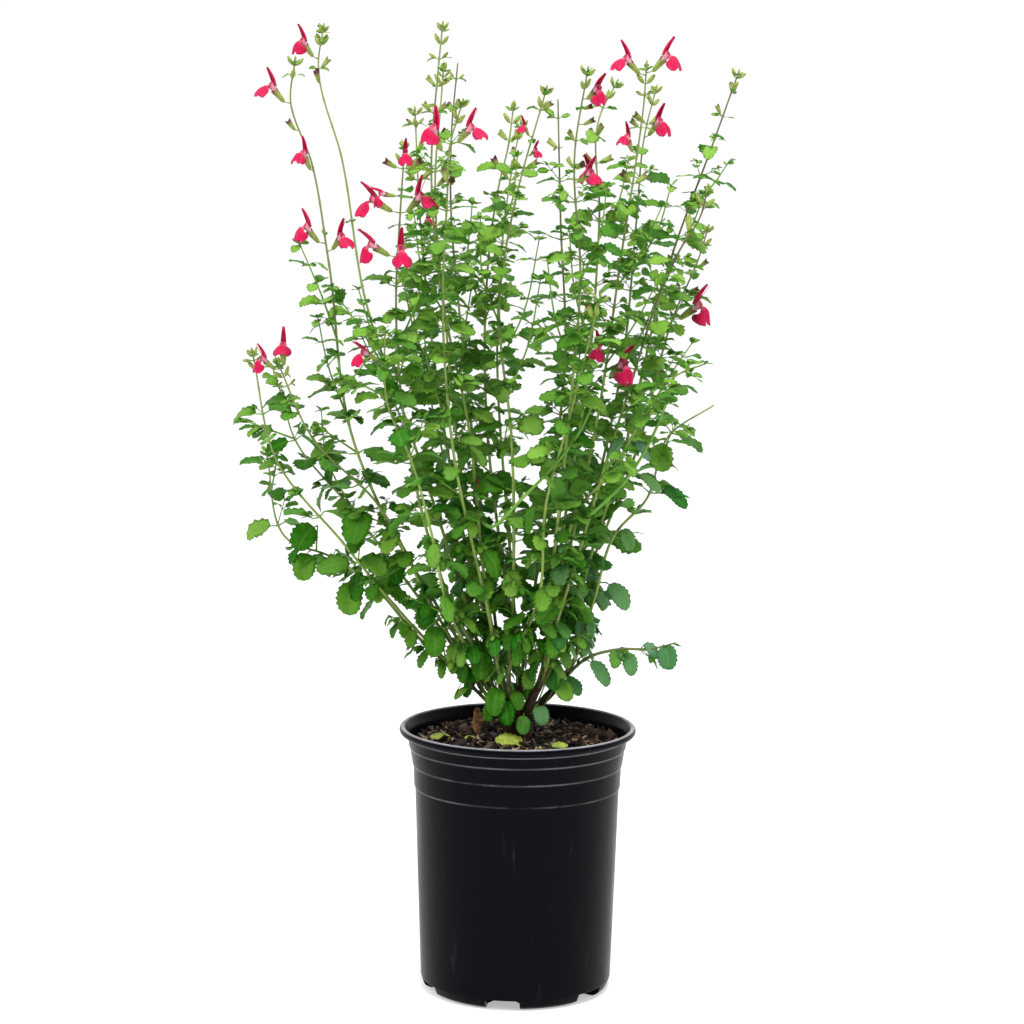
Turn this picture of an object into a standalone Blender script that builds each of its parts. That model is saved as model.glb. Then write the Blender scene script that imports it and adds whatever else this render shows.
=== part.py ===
"""A perennial salvia in its nursery pot.

Metres, +Z up, the pot's foot on z = 0 and its axis on x = y = 0. The front is -Y.
Every object is one physical piece: the pot, the soil, the woody crown, each leafy shoot
with its opposite leaves, each two-lipped flower with its calyx, and the fallen leaves.
"""

import math

import bpy
import numpy as np
from mathutils import Vector
from mathutils.bvhtree import BVHTree

MM = 0.001
SEAT_GAP = 0.3  # mm between a piece and the piece that carries it

# The pot, in mm: a moulded round nursery pot, 165 mm across its rim and 186 mm tall.
POT_SEGMENTS = 36
WALL = 1.6
FLOOR_THICKNESS = 1.5
FLOOR_RAISE = 4.0
PAD_RADIUS = 18.0
FOOT_INNER_RADIUS = 50.0
FOOT_OUTER_RADIUS = 60.0
NOTCH_COUNT = 6
NOTCH_WIDTH = 24.0
NOTCH_HEIGHT = 7.5
NOTCH_AZIMUTH = -8.0  # degrees to the right of the front, for the notch nearest the front

# The outside of the wall, radius and height, from the rounded foot corner up to the rim.
# Each of the three moulded steps is a pair of points about a millimetre apart in height.
WALL_OUTSIDE = [
    (64.5, 2.4),
    (66.6, 8.0),
    (71.2, 143.0),
    (72.0, 144.2),
    (72.5, 158.4),
    (73.2, 159.6),
    (74.9, 170.6),
    (75.6, 171.8),
    (76.9, 180.0),
]
RIM_ROLL = [
    (80.6, 180.8),
    (82.1, 181.8),
    (82.5, 183.4),
    (81.9, 185.2),
    (80.3, 186.2),
    (78.6, 185.4),
]

# The soil fills the pot to about 10 mm under the rim; the crown is planted 30 mm deep in it.
SOIL_TOP = 176.5
SOIL_EDGE_DROP = 1.5
WELL_RADIUS = 10.0
WELL_FLOOR = 147.0

# The woody crown: a stump with the branches that carry the shoots.
STUMP_TOP = 187.0
BRANCH_TAPER = [(0, 3.6), (0.4, 3.2), (0.85, 2.7)]  # share of its length, and radius
BRANCH_SIDES = 6
SHOOT_SPACING = 2.6  # mm between the feet of neighbouring shoots on a branch end
BRANCH_MARGIN = 1.15  # mm of branch end outside the ring of shoot feet
BRANCHES = {
    "left_high": [(-4, 0, 179), (-9, -1, 194), (-17, -3, 210)],
    "left_low": [(-4, 2, 177), (-11, 3, 191), (-22, 5, 204)],
    "back_left": [(-3, 4, 181), (-7, 9, 197), (-12, 15, 214)],
    "centre_front": [(-2, -4, 181), (-4, -8, 196), (-7, -13, 211)],
    "back_centre": [(1, 4, 183), (1, 8, 200), (1, 12, 219)],
    "right_front": [(3, -4, 181), (8, -10, 200), (16, -17, 221)],
    "back_right": [(3, 3, 181), (9, 8, 201), (20, 14, 223)],
    "leaning_right": [(5, 0, 178), (11, 0, 195), (26, -1, 213), (35, -1, 225)],
}

# The shoots, in mm: the branch that carries each, the points it passes through from the
# foot to the tip, and the length at the tip that has flowers and small bracts only.
SHOOTS = {
    "left_tall": (
        "left_high", 150,
        [
            (-55, -4, 268), (-93, -10, 334), (-113, -13, 382), (-131, -22, 510),
            (-142, -26, 575), (-156, -29, 618), (-153, -30, 641),
        ],
    ),
    "left_tall_slim": (
        "left_high", 200,
        [
            (-39, 8, 277), (-77, 20, 390), (-108, 28, 478), (-125, 37, 575), (-142, 43, 645),
            (-139, 45, 665),
        ],
    ),
    "left_dark_calyx": (
        "left_high", 90,
        [
            (-45, -22, 272), (-76, -52, 391), (-83, -76, 486), (-80, -88, 544),
            (-77, -95, 587),
        ],
    ),
    "left_slim": (
        "back_left", 60,
        [
            (-32, 25, 282), (-57, 45, 410), (-72, 59, 538), (-76, 70, 609),
        ],
    ),
    "centre_left_tall": (
        "centre_front", 70,
        [
            (-20, -17, 267), (-36, -32, 403), (-54, -39, 489), (-61, -49, 574),
            (-57, -56, 633), (-54, -60, 664),
        ],
    ),
    "centre_left": (
        "back_left", 60,
        [
            (-32, 17, 302), (-52, 17, 461), (-60, 17, 573), (-57, 19, 611), (-55, 20, 639),
        ],
    ),
    "cut_left": (
        "back_left", 40,
        [
            (-24, 36, 312), (-43, 70, 460), (-51, 88, 547), (-51, 97, 594), (-47, 105, 644),
        ],
    ),
    "paired_flowers": (
        "centre_front", 60,
        [
            (-20, -24, 265), (-46, -60, 392), (-52, -84, 487), (-49, -101, 559),
            (-48, -107, 585), (-40, -115, 614),
        ],
    ),
    "centre_slim": (
        "back_centre", 50,
        [
            (-10, 6, 289), (-23, -8, 397), (-25, -15, 463), (-16, -19, 562), (-10, -20, 588),
            (-7, -20, 613),
        ],
    ),
    "centre_back": (
        "back_centre", 60,
        [
            (-6, 36, 297), (-17, 90, 456), (-10, 115, 554), (-2, 125, 601),
        ],
    ),
    "centre_leaning": (
        "centre_front", 60,
        [
            (-4, -20, 282), (-6, -40, 390), (-15, -55, 486), (-5, -65, 552), (14, -75, 623),
        ],
    ),
    "cut_centre": (
        "back_centre", 40,
        [
            (14, 25, 300), (31, 43, 449), (27, 52, 529), (24, 62, 619),
        ],
    ),
    "right_hooked": (
        "right_front", 70,
        [
            (22, -34, 293), (33, -65, 420), (38, -84, 501), (33, -103, 586), (40, -115, 635),
        ],
    ),
    "right_light": (
        "back_right", 60,
        [
            (28, 12, 302), (48, 18, 447), (53, 24, 538), (54, 29, 612), (63, 30, 629),
        ],
    ),
    "right_tall": (
        "right_front", 80,
        [
            (28, -18, 277), (54, -25, 416), (67, -31, 519), (76, -35, 583), (80, -38, 619),
            (81, -40, 640),
        ],
    ),
    "right_back": (
        "back_right", 50,
        [
            (36, 26, 282), (73, 63, 444), (81, 81, 535), (87, 94, 598), (94, 100, 626),
        ],
    ),
    "far_right": (
        "leaning_right", 50,
        [
            (41, 5, 265), (72, 8, 379), (102, 10, 511), (131, 16, 593), (146, 20, 636),
        ],
    ),
    "right_cluster": (
        "right_front", 40,
        [
            (32, -30, 284), (71, -20, 415), (104, -60, 520), (118, -63, 545), (121, -65, 560),
        ],
    ),
    "right_bud": (
        "back_right", 50,
        [
            (45, 20, 283), (84, 36, 383), (106, 50, 467), (126, 58, 515), (130, 60, 529),
        ],
    ),
    "right_thick": (
        "right_front", 0,
        [
            (27, -24, 291), (41, -38, 346), (59, -52, 368), (81, -62, 408), (102, -74, 438),
            (121, -82, 447),
        ],
    ),
    "right_tendril": (
        "leaning_right", 30,
        [
            (52, -7, 277), (66, -8, 323), (87, -4, 346), (102, 0, 390), (133, 5, 411),
        ],
    ),
    "low_tendril": (
        "leaning_right", 0,
        [
            (50, -9, 237), (72, -13, 243), (91, -17, 244), (108, -20, 249),
        ],
    ),
    "front_upright": (
        "centre_front", 20,
        [
            (14, -37, 284), (17, -60, 347), (31, -84, 407), (50, -110, 490),
        ],
    ),
    "front_left": (
        "left_high", 0,
        [
            (-50, -34, 281), (-60, -58, 332), (-72, -76, 379), (-88, -92, 421),
            (-89, -108, 469),
        ],
    ),
    "left_flowering": (
        "left_low", 30,
        [
            (-62, -8, 275), (-97, -14, 342), (-143, -14, 389), (-166, -12, 439),
        ],
    ),
    "left_arching": (
        "left_low", 0,
        [
            (-69, 18, 271), (-119, 37, 333), (-161, 50, 384), (-169, 57, 415),
        ],
    ),
    "leftmost": (
        "left_low", 20,
        [
            (-77, 2, 259), (-122, -3, 314), (-167, -8, 371), (-183, -14, 445),
        ],
    ),
    "left_hanging": (
        "left_low", 0,
        [
            (-72, 14, 247), (-102, 20, 280), (-134, 24, 301), (-161, 28, 310), (-178, 32, 373),
        ],
    ),
    "back_left_tall": (
        "back_left", 20,
        [(-28, 40, 272), (-58, 90, 376), (-81, 128, 474)],
    ),
    "back_right_tall": (
        "back_right", 20,
        [(24, 40, 279), (35, 86, 373), (48, 128, 481)],
    ),
}
CUT_SHOOTS = ("cut_left", "cut_centre")
SHOOT_FOOT_RADIUS = 1.05
SHOOT_TIP_RADIUS = 0.6
SHOOT_LEAD = 5.0  # mm that a shoot runs along its branch before it turns away
RING_SPAN = 40.0  # mm at most between the rings of a bare stretch
NODE_HALF = 0.75  # mm from a leaf pair's middle to each of its two stem rings
FLOWER_ROOM = 4.0  # mm along a shoot that a flower's stalk keeps free of leaves

# Leaves: opposite pairs, each pair turned a quarter from the last.
FIRST_PAIR = 12.0
PAIR_SPACING = 21.0
PAIRS_PER_MODELLED = 3  # every third pair is modelled as a solid; the others are looks
LOW_HEIGHT = 300.0
HIGH_HEIGHT = 600.0
LOW_LEAF = 23.0
HIGH_LEAF = 13.0
BRACT = 6.0
LEAF_THICKNESS = 0.5
LEAF_CLEARANCE = 0.5

# Flowers: the shoot, the height of the node, the way the flower points and its length.
FLOWER_LENGTH = 26.0
LIP_THICKNESS = 0.03  # share of the flower's length
FLOWERS = {
    "flower_top_left": ("left_tall_slim", 643, (-0.5, -0.3, 0.75), 1.0),
    "flower_left_upper": ("left_tall", 613, (-0.6, -0.25, 0.75), 1.05),
    "flower_left_middle": ("left_tall", 572, (-0.35, -0.35, 0.85), 0.95),
    "flower_left_pair_a": ("left_tall", 519, (-0.6, -0.2, 0.75), 1.05),
    "flower_left_pair_b": ("left_tall", 515, (0.5, -0.5, 0.7), 1.0),
    "flower_calyx_tip": ("left_dark_calyx", 577, (0.1, -0.75, 0.6), 0.85),
    "flower_pale": ("left_dark_calyx", 545, (-0.8, -0.25, 0.48), 1.15),
    "flower_pale_right": ("left_dark_calyx", 543, (0.6, -0.3, 0.7), 1.1),
    "flower_slim_side": ("left_slim", 530, (0.35, -0.6, 0.7), 0.75),
    "flower_level_left": ("left_dark_calyx", 513, (-0.8, -0.2, 0.48), 1.1),
    "flower_front": ("left_dark_calyx", 509, (0.15, -0.7, 0.65), 1.15),
    "flower_upright": ("paired_flowers", 583, (-0.35, -0.3, 0.88), 1.2),
    "flower_upright_right": ("paired_flowers", 590, (0.65, -0.3, 0.7), 1.05),
    "flower_top_right_a": ("right_tall", 634, (-0.65, -0.3, 0.7), 1.05),
    "flower_top_right_b": ("right_tall", 637, (0.62, -0.3, 0.72), 1.1),
    "flower_hanging": ("right_hooked", 619, (0.5, -0.7, 0.5), 1.0),
    "flower_back_right": ("right_back", 595, (0.5, -0.5, 0.7), 1.1),
    "flower_small_right": ("right_tall", 584, (-0.35, -0.3, 0.87), 0.85),
    "flower_cluster": ("right_light", 565, (-0.35, -0.7, 0.6), 1.0),
    "flower_bud_side": ("right_bud", 468, (0.75, -0.3, 0.58), 1.3),
    "flower_left_cluster": ("left_flowering", 435, (0.0, -0.35, 0.93), 1.1),
    "flower_low_left": ("front_left", 448, (-0.75, -0.45, 0.45), 0.9),
    "flower_big_right": ("right_tall", 431, (0.5, -0.65, 0.55), 1.3),
}

# Fallen leaves on the soil: middle, length, width and the way each points, in mm and degrees.
FALLEN_LEAVES = {
    "fallen_leaf_front": ((-6, -24), 20.0, 12.0, 10.0),
    "fallen_leaf_left": ((-54, -8), 15.0, 7.0, 165.0),
    "fallen_leaf_right": ((29, -32), 12.0, 6.0, -15.0),
}


def clear_scene():
    """Remove what a new Blender file starts with."""
    for item in list(bpy.data.objects):
        bpy.data.objects.remove(item, do_unlink=True)


def material(name, colour, roughness, metallic=0.0):
    """A plain Principled material."""
    made = bpy.data.materials.get(name)
    if made:
        return made
    made = bpy.data.materials.new(name)
    made.use_nodes = True
    shader = made.node_tree.nodes["Principled BSDF"]
    shader.inputs["Base Color"].default_value = (*colour, 1.0)
    shader.inputs["Roughness"].default_value = roughness
    shader.inputs["Metallic"].default_value = metallic
    made.diffuse_color = (*colour, 1.0)
    return made


def add_object(name, vertices, faces, look, smooth=False):
    """One named object from points in mm and faces that look outwards."""
    mesh = bpy.data.meshes.new(name)
    scaled = [tuple(float(c) * MM for c in v) for v in vertices]
    mesh.from_pydata(scaled, [], [tuple(int(i) for i in f) for f in faces])
    mesh.update()
    mesh.materials.append(look)
    made = bpy.data.objects.new(name, mesh)
    bpy.context.collection.objects.link(made)
    if smooth:
        mesh.polygons.foreach_set("use_smooth", [True] * len(mesh.polygons))
    return made


def unit(vector):
    """The vector at length one."""
    return vector / np.linalg.norm(vector)


def hashed(*keys):
    """A number from 0 to 1 that depends only on the keys."""
    mixed = sum(k * f for k, f in zip(keys, (12.9898, 78.233, 37.719)))
    value = math.sin(mixed) * 43758.5453
    return value - math.floor(value)


def spread(low, high, *keys):
    """A number from low to high that depends only on the keys."""
    return low + (high - low) * hashed(*keys)


class Path:
    """A smooth curve through points, with the distance along it and frames that don't twist."""

    STEPS = 12

    def __init__(self, points):
        points = np.array(points, float)
        spans = np.linalg.norm(np.diff(points, axis=0), axis=1)
        slopes = np.diff(points, axis=0) / spans[:, None]
        tangents = np.empty_like(points)
        tangents[0], tangents[-1] = slopes[0], slopes[-1]
        for i in range(1, len(points) - 1):
            mixed = slopes[i - 1] * spans[i] + slopes[i] * spans[i - 1]
            tangents[i] = mixed / (spans[i - 1] + spans[i])
        samples = [points[0]]
        for i, span in enumerate(spans):
            for step in range(1, self.STEPS + 1):
                t = step / self.STEPS
                samples.append(
                    points[i] * (2 * t**3 - 3 * t**2 + 1)
                    + tangents[i] * span * (t**3 - 2 * t**2 + t)
                    + points[i + 1] * (3 * t**2 - 2 * t**3)
                    + tangents[i + 1] * span * (t**3 - t**2)
                )
        self.points = np.array(samples)
        steps = np.linalg.norm(np.diff(self.points, axis=0), axis=1)
        self.along = np.concatenate([[0.0], np.cumsum(steps)])
        self.length = self.along[-1]
        self.tangents = np.gradient(self.points, self.along, axis=0)
        self.tangents /= np.linalg.norm(self.tangents, axis=1)[:, None]
        self.sides = self.carry_sides()

    def carry_sides(self):
        """A side direction carried up the curve without twisting, from +X at the foot."""
        side = np.array([1.0, 0.0, 0.0])
        sides = []
        for tangent in self.tangents:
            side = unit(side - tangent * side.dot(tangent))
            sides.append(side)
        return np.array(sides)

    def between(self, values, s):
        """The value at the distance s."""
        return np.array([np.interp(s, self.along, values[:, i]) for i in range(3)])

    def point(self, s):
        """The point at the distance s."""
        return self.between(self.points, s)

    def frame(self, s):
        """The tangent and the two side directions at the distance s."""
        tangent = unit(self.between(self.tangents, s))
        side = self.between(self.sides, s)
        side = unit(side - tangent * side.dot(tangent))
        return tangent, side, np.cross(tangent, side)

    def ring(self, s, radius, turn, count):
        """Points round the curve, counter-clockwise seen from its far end."""
        _, a, b = self.frame(s)
        angles = turn + np.arange(count) * 2 * math.pi / count
        round_it = np.cos(angles)[:, None] * a + np.sin(angles)[:, None] * b
        return self.point(s) + radius * round_it

    def distance_at_height(self, z):
        """The distance along at which the curve is at the height z."""
        return self.along[int(np.argmin(np.abs(self.points[:, 2] - z)))]


class Solid:
    """Points and faces gathered for one closed body."""

    def __init__(self):
        self.vertices = []
        self.faces = []

    def add(self, points):
        """Adds points and gives their numbers."""
        first = len(self.vertices)
        self.vertices.extend(np.asarray(points, float))
        return list(range(first, first + len(points)))

    def join(self, lower, upper, skip=()):
        """The sides between two rings of as many points, but for the sides in skip."""
        count = len(lower)
        for i in range(count):
            if i not in skip:
                j = (i + 1) % count
                self.faces.append((lower[i], lower[j], upper[j], upper[i]))

    def close(self, ring, tip):
        """A pointed end on a ring."""
        top = self.add([tip])[0]
        count = len(ring)
        for i in range(count):
            self.faces.append((ring[i], ring[(i + 1) % count], top))

    def tree(self):
        """A search tree of the faces, for the overlap tests."""
        return BVHTree.FromPolygons([Vector(v) for v in self.vertices], self.faces)


def lathe(profile, segments):
    """A closed turned body from a profile that starts and ends on the axis, seen upwards
    along its outside. The faces look outwards."""
    solid = Solid()
    rings = []
    for radius, z in profile:
        if radius == 0:
            rings.append(solid.add([(0, 0, z)]) * segments)
            continue
        angles = np.arange(segments) * 2 * math.pi / segments
        points = np.stack(
            [radius * np.cos(angles), radius * np.sin(angles), np.full(segments, z)], axis=1
        )
        rings.append(solid.add(points))
    for lower, upper in zip(rings, rings[1:]):
        for i in range(segments):
            j = (i + 1) % segments
            corners = [lower[i], lower[j], upper[j], upper[i]]
            face = list(dict.fromkeys(corners))
            solid.faces.append(tuple(face))
    return solid


def inside_wall():
    """The inside of the pot's wall from the rim down: the outside moved in by its thickness."""
    return [(radius - WALL, z) for radius, z in reversed(WALL_OUTSIDE[1:])]


def pot_profile():
    """Half the pot's section, from the middle of its underside round to the inner floor."""
    inner_floor = FLOOR_RAISE + FLOOR_THICKNESS
    under = [
        (0, 0),
        (PAD_RADIUS, 0),
        (PAD_RADIUS + 2, FLOOR_RAISE),
        (FOOT_INNER_RADIUS, FLOOR_RAISE),
        (FOOT_INNER_RADIUS + 1.5, 0),
        (FOOT_OUTER_RADIUS, 0),
    ]
    inside = [
        (62.6, inner_floor),
        (PAD_RADIUS + 1, inner_floor),
        (PAD_RADIUS - 1, FLOOR_THICKNESS),
        (0, FLOOR_THICKNESS),
    ]
    return under + WALL_OUTSIDE + RIM_ROLL + inside_wall() + inside


def add_pot():
    """The pot, with the drain notches cut through its foot."""
    look = material("black_plastic", (0.012, 0.013, 0.015), 0.32)
    solid = lathe(pot_profile(), POT_SEGMENTS)
    pot = add_object("pot", solid.vertices, solid.faces, look, smooth=True)
    reach = (FOOT_OUTER_RADIUS + WALL_OUTSIDE[1][0]) / 2
    depth = 2 * (reach - FOOT_INNER_RADIUS)
    for k in range(NOTCH_COUNT):
        azimuth = math.radians(NOTCH_AZIMUTH + k * 360 / NOTCH_COUNT)
        middle = Vector((math.sin(azimuth) * reach, -math.cos(azimuth) * reach, 0)) * MM
        bpy.ops.mesh.primitive_cube_add(size=1, location=middle, rotation=(0, 0, azimuth))
        cutter = bpy.context.object
        cutter.name = f"notch_cutter_{k}"
        cutter.scale = (NOTCH_WIDTH * MM, depth * MM, 2 * NOTCH_HEIGHT * MM)
        cutter.hide_render = True
        cutter.display_type = "WIRE"
        cut = pot.modifiers.new(f"notch_{k}", "BOOLEAN")
        cut.operation = "DIFFERENCE"
        cut.solver = "EXACT"
        cut.object = cutter
    return solid


def add_soil():
    """The soil, with the well that the crown stands in."""
    look = material("bark_mix", (0.035, 0.022, 0.015), 0.95)
    inner_floor = FLOOR_RAISE + FLOOR_THICKNESS
    side = [
        (radius - SEAT_GAP, z)
        for radius, z in reversed(inside_wall())
        if z < SOIL_TOP - SOIL_EDGE_DROP - 2
    ]
    side[0] = (side[0][0], side[0][1] + SEAT_GAP)
    edge = side[-1][0] + 0.2
    profile = [(0, inner_floor + SEAT_GAP), (61.5, inner_floor + SEAT_GAP)] + side
    profile += [
        (edge, SOIL_TOP - SOIL_EDGE_DROP),
        (edge - 5, SOIL_TOP - SOIL_EDGE_DROP / 3),
        (40, SOIL_TOP),
        (WELL_RADIUS, SOIL_TOP),
        (WELL_RADIUS, WELL_FLOOR),
        (0, WELL_FLOOR),
    ]
    solid = lathe(profile, POT_SEGMENTS)
    add_object("soil", solid.vertices, solid.faces, look)
    return solid


def tube(path, radii, sides):
    """A closed round bar along a path, with flat ends."""
    solid = Solid()
    rings = []
    for share, radius in radii:
        rings.append(solid.add(path.ring(share * path.length, radius, 0.0, sides)))
    for lower, upper in zip(rings, rings[1:]):
        solid.join(lower, upper)
    solid.faces.append(tuple(reversed(rings[0])))
    solid.faces.append(tuple(rings[-1]))
    return solid


def carried_by(branch):
    """The names of the shoots on a branch."""
    return [name for name, (carrier, _, _) in SHOOTS.items() if carrier == branch]


def foot_circle(branch):
    """The radius of the ring that the feet of a branch's shoots stand on."""
    count = len(carried_by(branch))
    return SHOOT_SPACING / 2 / math.sin(math.pi / count)


def add_crown():
    """The stump and its branches, joined into one body."""
    look = material("brown_wood", (0.11, 0.07, 0.045), 0.85)
    radius = WELL_RADIUS - SEAT_GAP
    bottom = WELL_FLOOR + SEAT_GAP
    profile = [
        (0, bottom),
        (radius, bottom),
        (radius, SOIL_TOP),
        (radius - 3, STUMP_TOP),
        (0, STUMP_TOP + 2),
    ]
    stump = lathe(profile, 12)
    crown = add_object("woody_crown", stump.vertices, stump.faces, look)
    for branch, points in BRANCHES.items():
        path = Path(points)
        end = foot_circle(branch) + BRANCH_MARGIN
        bar = tube(path, [*BRANCH_TAPER, (1, end)], BRANCH_SIDES)
        part = add_object(f"{branch}_branch", bar.vertices, bar.faces, look)
        part.hide_render = True
        part.display_type = "WIRE"
        union = crown.modifiers.new(branch, "BOOLEAN")
        union.operation = "UNION"
        union.solver = "EXACT"
        union.object = part
    solid = Solid()
    evaluated = crown.evaluated_get(bpy.context.evaluated_depsgraph_get())
    mesh = evaluated.to_mesh()
    solid.add([np.array(v.co) / MM for v in mesh.vertices])
    solid.faces = [tuple(p.vertices) for p in mesh.polygons]
    evaluated.to_mesh_clear()
    return solid


def shoot_feet(branch):
    """Where each shoot of a branch stands: its foot and its lead point. The shoots take
    the places round the branch end that lie nearest the way they go."""
    path = Path(BRANCHES[branch])
    tangent, a, b = path.frame(path.length)
    end = path.point(path.length) + tangent * SEAT_GAP
    names = carried_by(branch)
    bearings = {}
    for name in names:
        away = np.array(SHOOTS[name][2][0], float) - end
        bearings[name] = math.atan2(away.dot(b), away.dot(a))
    ordered = sorted(names, key=lambda name: bearings[name])
    step = 2 * math.pi / len(ordered)
    offsets = [bearings[name] - i * step for i, name in enumerate(ordered)]
    start = math.atan2(sum(map(math.sin, offsets)), sum(map(math.cos, offsets)))
    feet = {}
    for i, name in enumerate(ordered):
        angle = start + i * step
        out = math.cos(angle) * a + math.sin(angle) * b
        foot = end + foot_circle(branch) * out
        feet[name] = (foot, foot + SHOOT_LEAD * tangent + 0.12 * SHOOT_LEAD * out)
    return feet


def shoot_paths():
    """The path of each shoot by name."""
    paths = {}
    for branch in BRANCHES:
        for name, (foot, lead) in shoot_feet(branch).items():
            paths[name] = Path([foot, lead] + SHOOTS[name][2])
    return {name: paths[name] for name in SHOOTS}


def shoot_radius(path, s):
    """The radius of a shoot at the distance s: it thins towards the tip."""
    return SHOOT_FOOT_RADIUS + (SHOOT_TIP_RADIUS - SHOOT_FOOT_RADIUS) * s / path.length


def leaf_pairs(index, name, path):
    """The pairs of a shoot: number, distance along, turn and leaf length."""
    bare = SHOOTS[name][1]
    pairs = []
    s, number = FIRST_PAIR + spread(0, 10, index, 1, 1), 0
    while s < path.length - 4:
        height = path.point(s)[2]
        share = min(max((height - LOW_HEIGHT) / (HIGH_HEIGHT - LOW_HEIGHT), 0), 1)
        length = LOW_LEAF + (HIGH_LEAF - LOW_LEAF) * share
        if s > path.length - bare:
            length = BRACT
        length *= spread(0.8, 1.15, index, number, 2)
        pairs.append((number, s, math.radians(spread(-18, 18, index, number, 3)), length))
        s += PAIR_SPACING * spread(0.85, 1.15, index, number, 4)
        number += 1
    return pairs


def leaf_rings(root, out, tangent, length, keys, grow=0.0):
    """The rings of one leaf from its stalk's end to the widest place, and its tip.
    Grow widens and thickens it, for the clearance test. The blade points level, away from
    the shoot and a little along it, and droops; the stalk leaves the shoot squarely."""
    up = np.array([0.0, 0.0, 1.0])
    flat = np.array([1.0, 1.0, 0.0])
    level = unit(out * flat + 0.35 * tangent * flat)
    low = min(max((length - HIGH_LEAF) / (LOW_LEAF - HIGH_LEAF), 0), 1)
    rise = math.radians(spread(10, 35, *keys, 5))
    droop = math.radians(-12 - 34 * low + spread(-14, 14, *keys, 6))
    stalk = unit(out + 0.3 * level + math.tan(rise) * tangent)
    stalk_end = root + stalk * 0.25 * length
    width = length * (0.5 + 0.2 * low)
    rings = []
    places = ((0.0, 0.9, 0.7, 0.0), (0.38, width, LEAF_THICKNESS, 0.12))
    centre = stalk_end
    for share, wide, thick, fold in places:
        angle = droop * (0.7 + 0.6 * share)
        ahead = level * math.cos(angle) + up * math.sin(angle)
        right = unit(np.cross(up, ahead))
        normal = np.cross(ahead, right)
        centre = centre + ahead * share * length
        half = right * (wide / 2 + grow)
        lift = normal * fold * wide
        thickness = normal * (thick / 2 + grow)
        rings.append([centre - half + lift, centre - thickness, centre + half + lift, centre + thickness])
    angle = droop * 1.3
    ahead = level * math.cos(angle) + up * math.sin(angle)
    tip = centre + ahead * (0.62 * length + grow)
    return rings, tip


def leaf_solid(root, out, tangent, length, keys):
    """A leaf alone and a little enlarged, for the clearance test."""
    solid = Solid()
    rings, tip = leaf_rings(root, out, tangent, length, keys, LEAF_CLEARANCE)
    numbers = [solid.add(ring) for ring in rings]
    solid.faces.append(tuple(reversed(numbers[0])))
    solid.join(numbers[0], numbers[1])
    solid.close(numbers[1], tip)
    return solid


def add_leaf(solid, root_ring, root, out, tangent, length, keys):
    """Grows a leaf out of the four root points in a shoot's side, with its rings turned
    by the quarter that twists the stalk least."""
    rings, tip = leaf_rings(root, out, tangent, length, keys)
    corners = np.array([solid.vertices[i] for i in root_ring])
    twists = [np.square(corners - np.roll(rings[0], -k, axis=0)).sum() for k in range(4)]
    quarter = int(np.argmin(twists))
    lower = root_ring
    for ring in rings:
        upper = solid.add(np.roll(ring, -quarter, axis=0))
        solid.join(lower, upper)
        lower = upper
    solid.close(lower, tip)


def bare_shoot(path):
    """A shoot without leaves, a little enlarged, for the clearance test."""
    count = max(4, int(path.length / 8))
    radii = []
    for i in range(count + 1):
        share = i / count
        radii.append((share, shoot_radius(path, share * path.length) + LEAF_CLEARANCE))
    return tube(path, radii, 4)


def shoot_stops(index, name, path):
    """The rings of a shoot in order, as distance, turn and the pair that starts there."""
    end = path.length - (0.3 if name in CUT_SHOOTS else 2.0)
    stops = [(0.0, 0.0, None), (SHOOT_LEAD, 0.0, None)]
    flowers = [path.distance_at_height(place[1]) for place in FLOWERS.values() if place[0] == name]
    for pair in leaf_pairs(index, name, path):
        number, s, turn, _ = pair
        modelled = number % PAIRS_PER_MODELLED == index % PAIRS_PER_MODELLED
        in_flower = any(abs(s - flower) < FLOWER_ROOM for flower in flowers)
        if modelled and not in_flower and s < end - FLOWER_ROOM:
            stops.append((s - NODE_HALF, turn, pair))
            stops.append((s + NODE_HALF, turn, None))
    stops += [(s, 0.0, None) for s in flowers if s < end - 1]
    stops.sort(key=lambda stop: stop[0])
    stops.append((end, stops[-1][1], None))
    filled = [stops[0]]
    for stop in stops[1:]:
        before = filled[-1]
        gap = stop[0] - before[0]
        extra = int(gap / RING_SPAN)
        for k in range(1, extra + 1):
            share = k / (extra + 1)
            filled.append((before[0] + gap * share, before[1] + (stop[1] - before[1]) * share, None))
        filled.append(stop)
    return filled


def build_shoot(index, name, path, blockers):
    """One shoot with the leaves that keep clear of the blockers, of the shoot and of each other."""
    solid = Solid()
    own = [bare_shoot(path).tree()]
    stops = shoot_stops(index, name, path)
    rings = []
    for s, turn, _ in stops:
        radius = shoot_radius(path, s) * 1.15
        rings.append(solid.add(path.ring(s, radius, turn + math.pi / 4, 4)))
    solid.faces.append(tuple(reversed(rings[0])))
    for k, (lower, upper) in enumerate(zip(rings, rings[1:])):
        pair = stops[k][2]
        used = []
        if pair:
            number, s, turn, length = pair
            tangent, a, b = path.frame(s)
            for side in (number % 4, (number + 2) % 4):
                angle = turn + side * math.pi / 2
                out = math.cos(angle) * a + math.sin(angle) * b
                root = path.point(s) + out * shoot_radius(path, s)
                keys = (index, number * 4 + side)
                tree = leaf_solid(root, out, tangent, length, keys).tree()
                if any(tree.overlap(other) for other in blockers + own):
                    continue
                own.append(tree)
                left, right = (side - 1) % 4, side
                root_ring = [lower[left], lower[right], upper[right], upper[left]]
                add_leaf(solid, root_ring, root, out, tangent, length, keys)
                used.append(left)
        solid.join(lower, upper, skip=used)
    if name in CUT_SHOOTS:
        solid.faces.append(tuple(rings[-1]))
    else:
        solid.close(rings[-1], path.point(path.length))
    return solid


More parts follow.
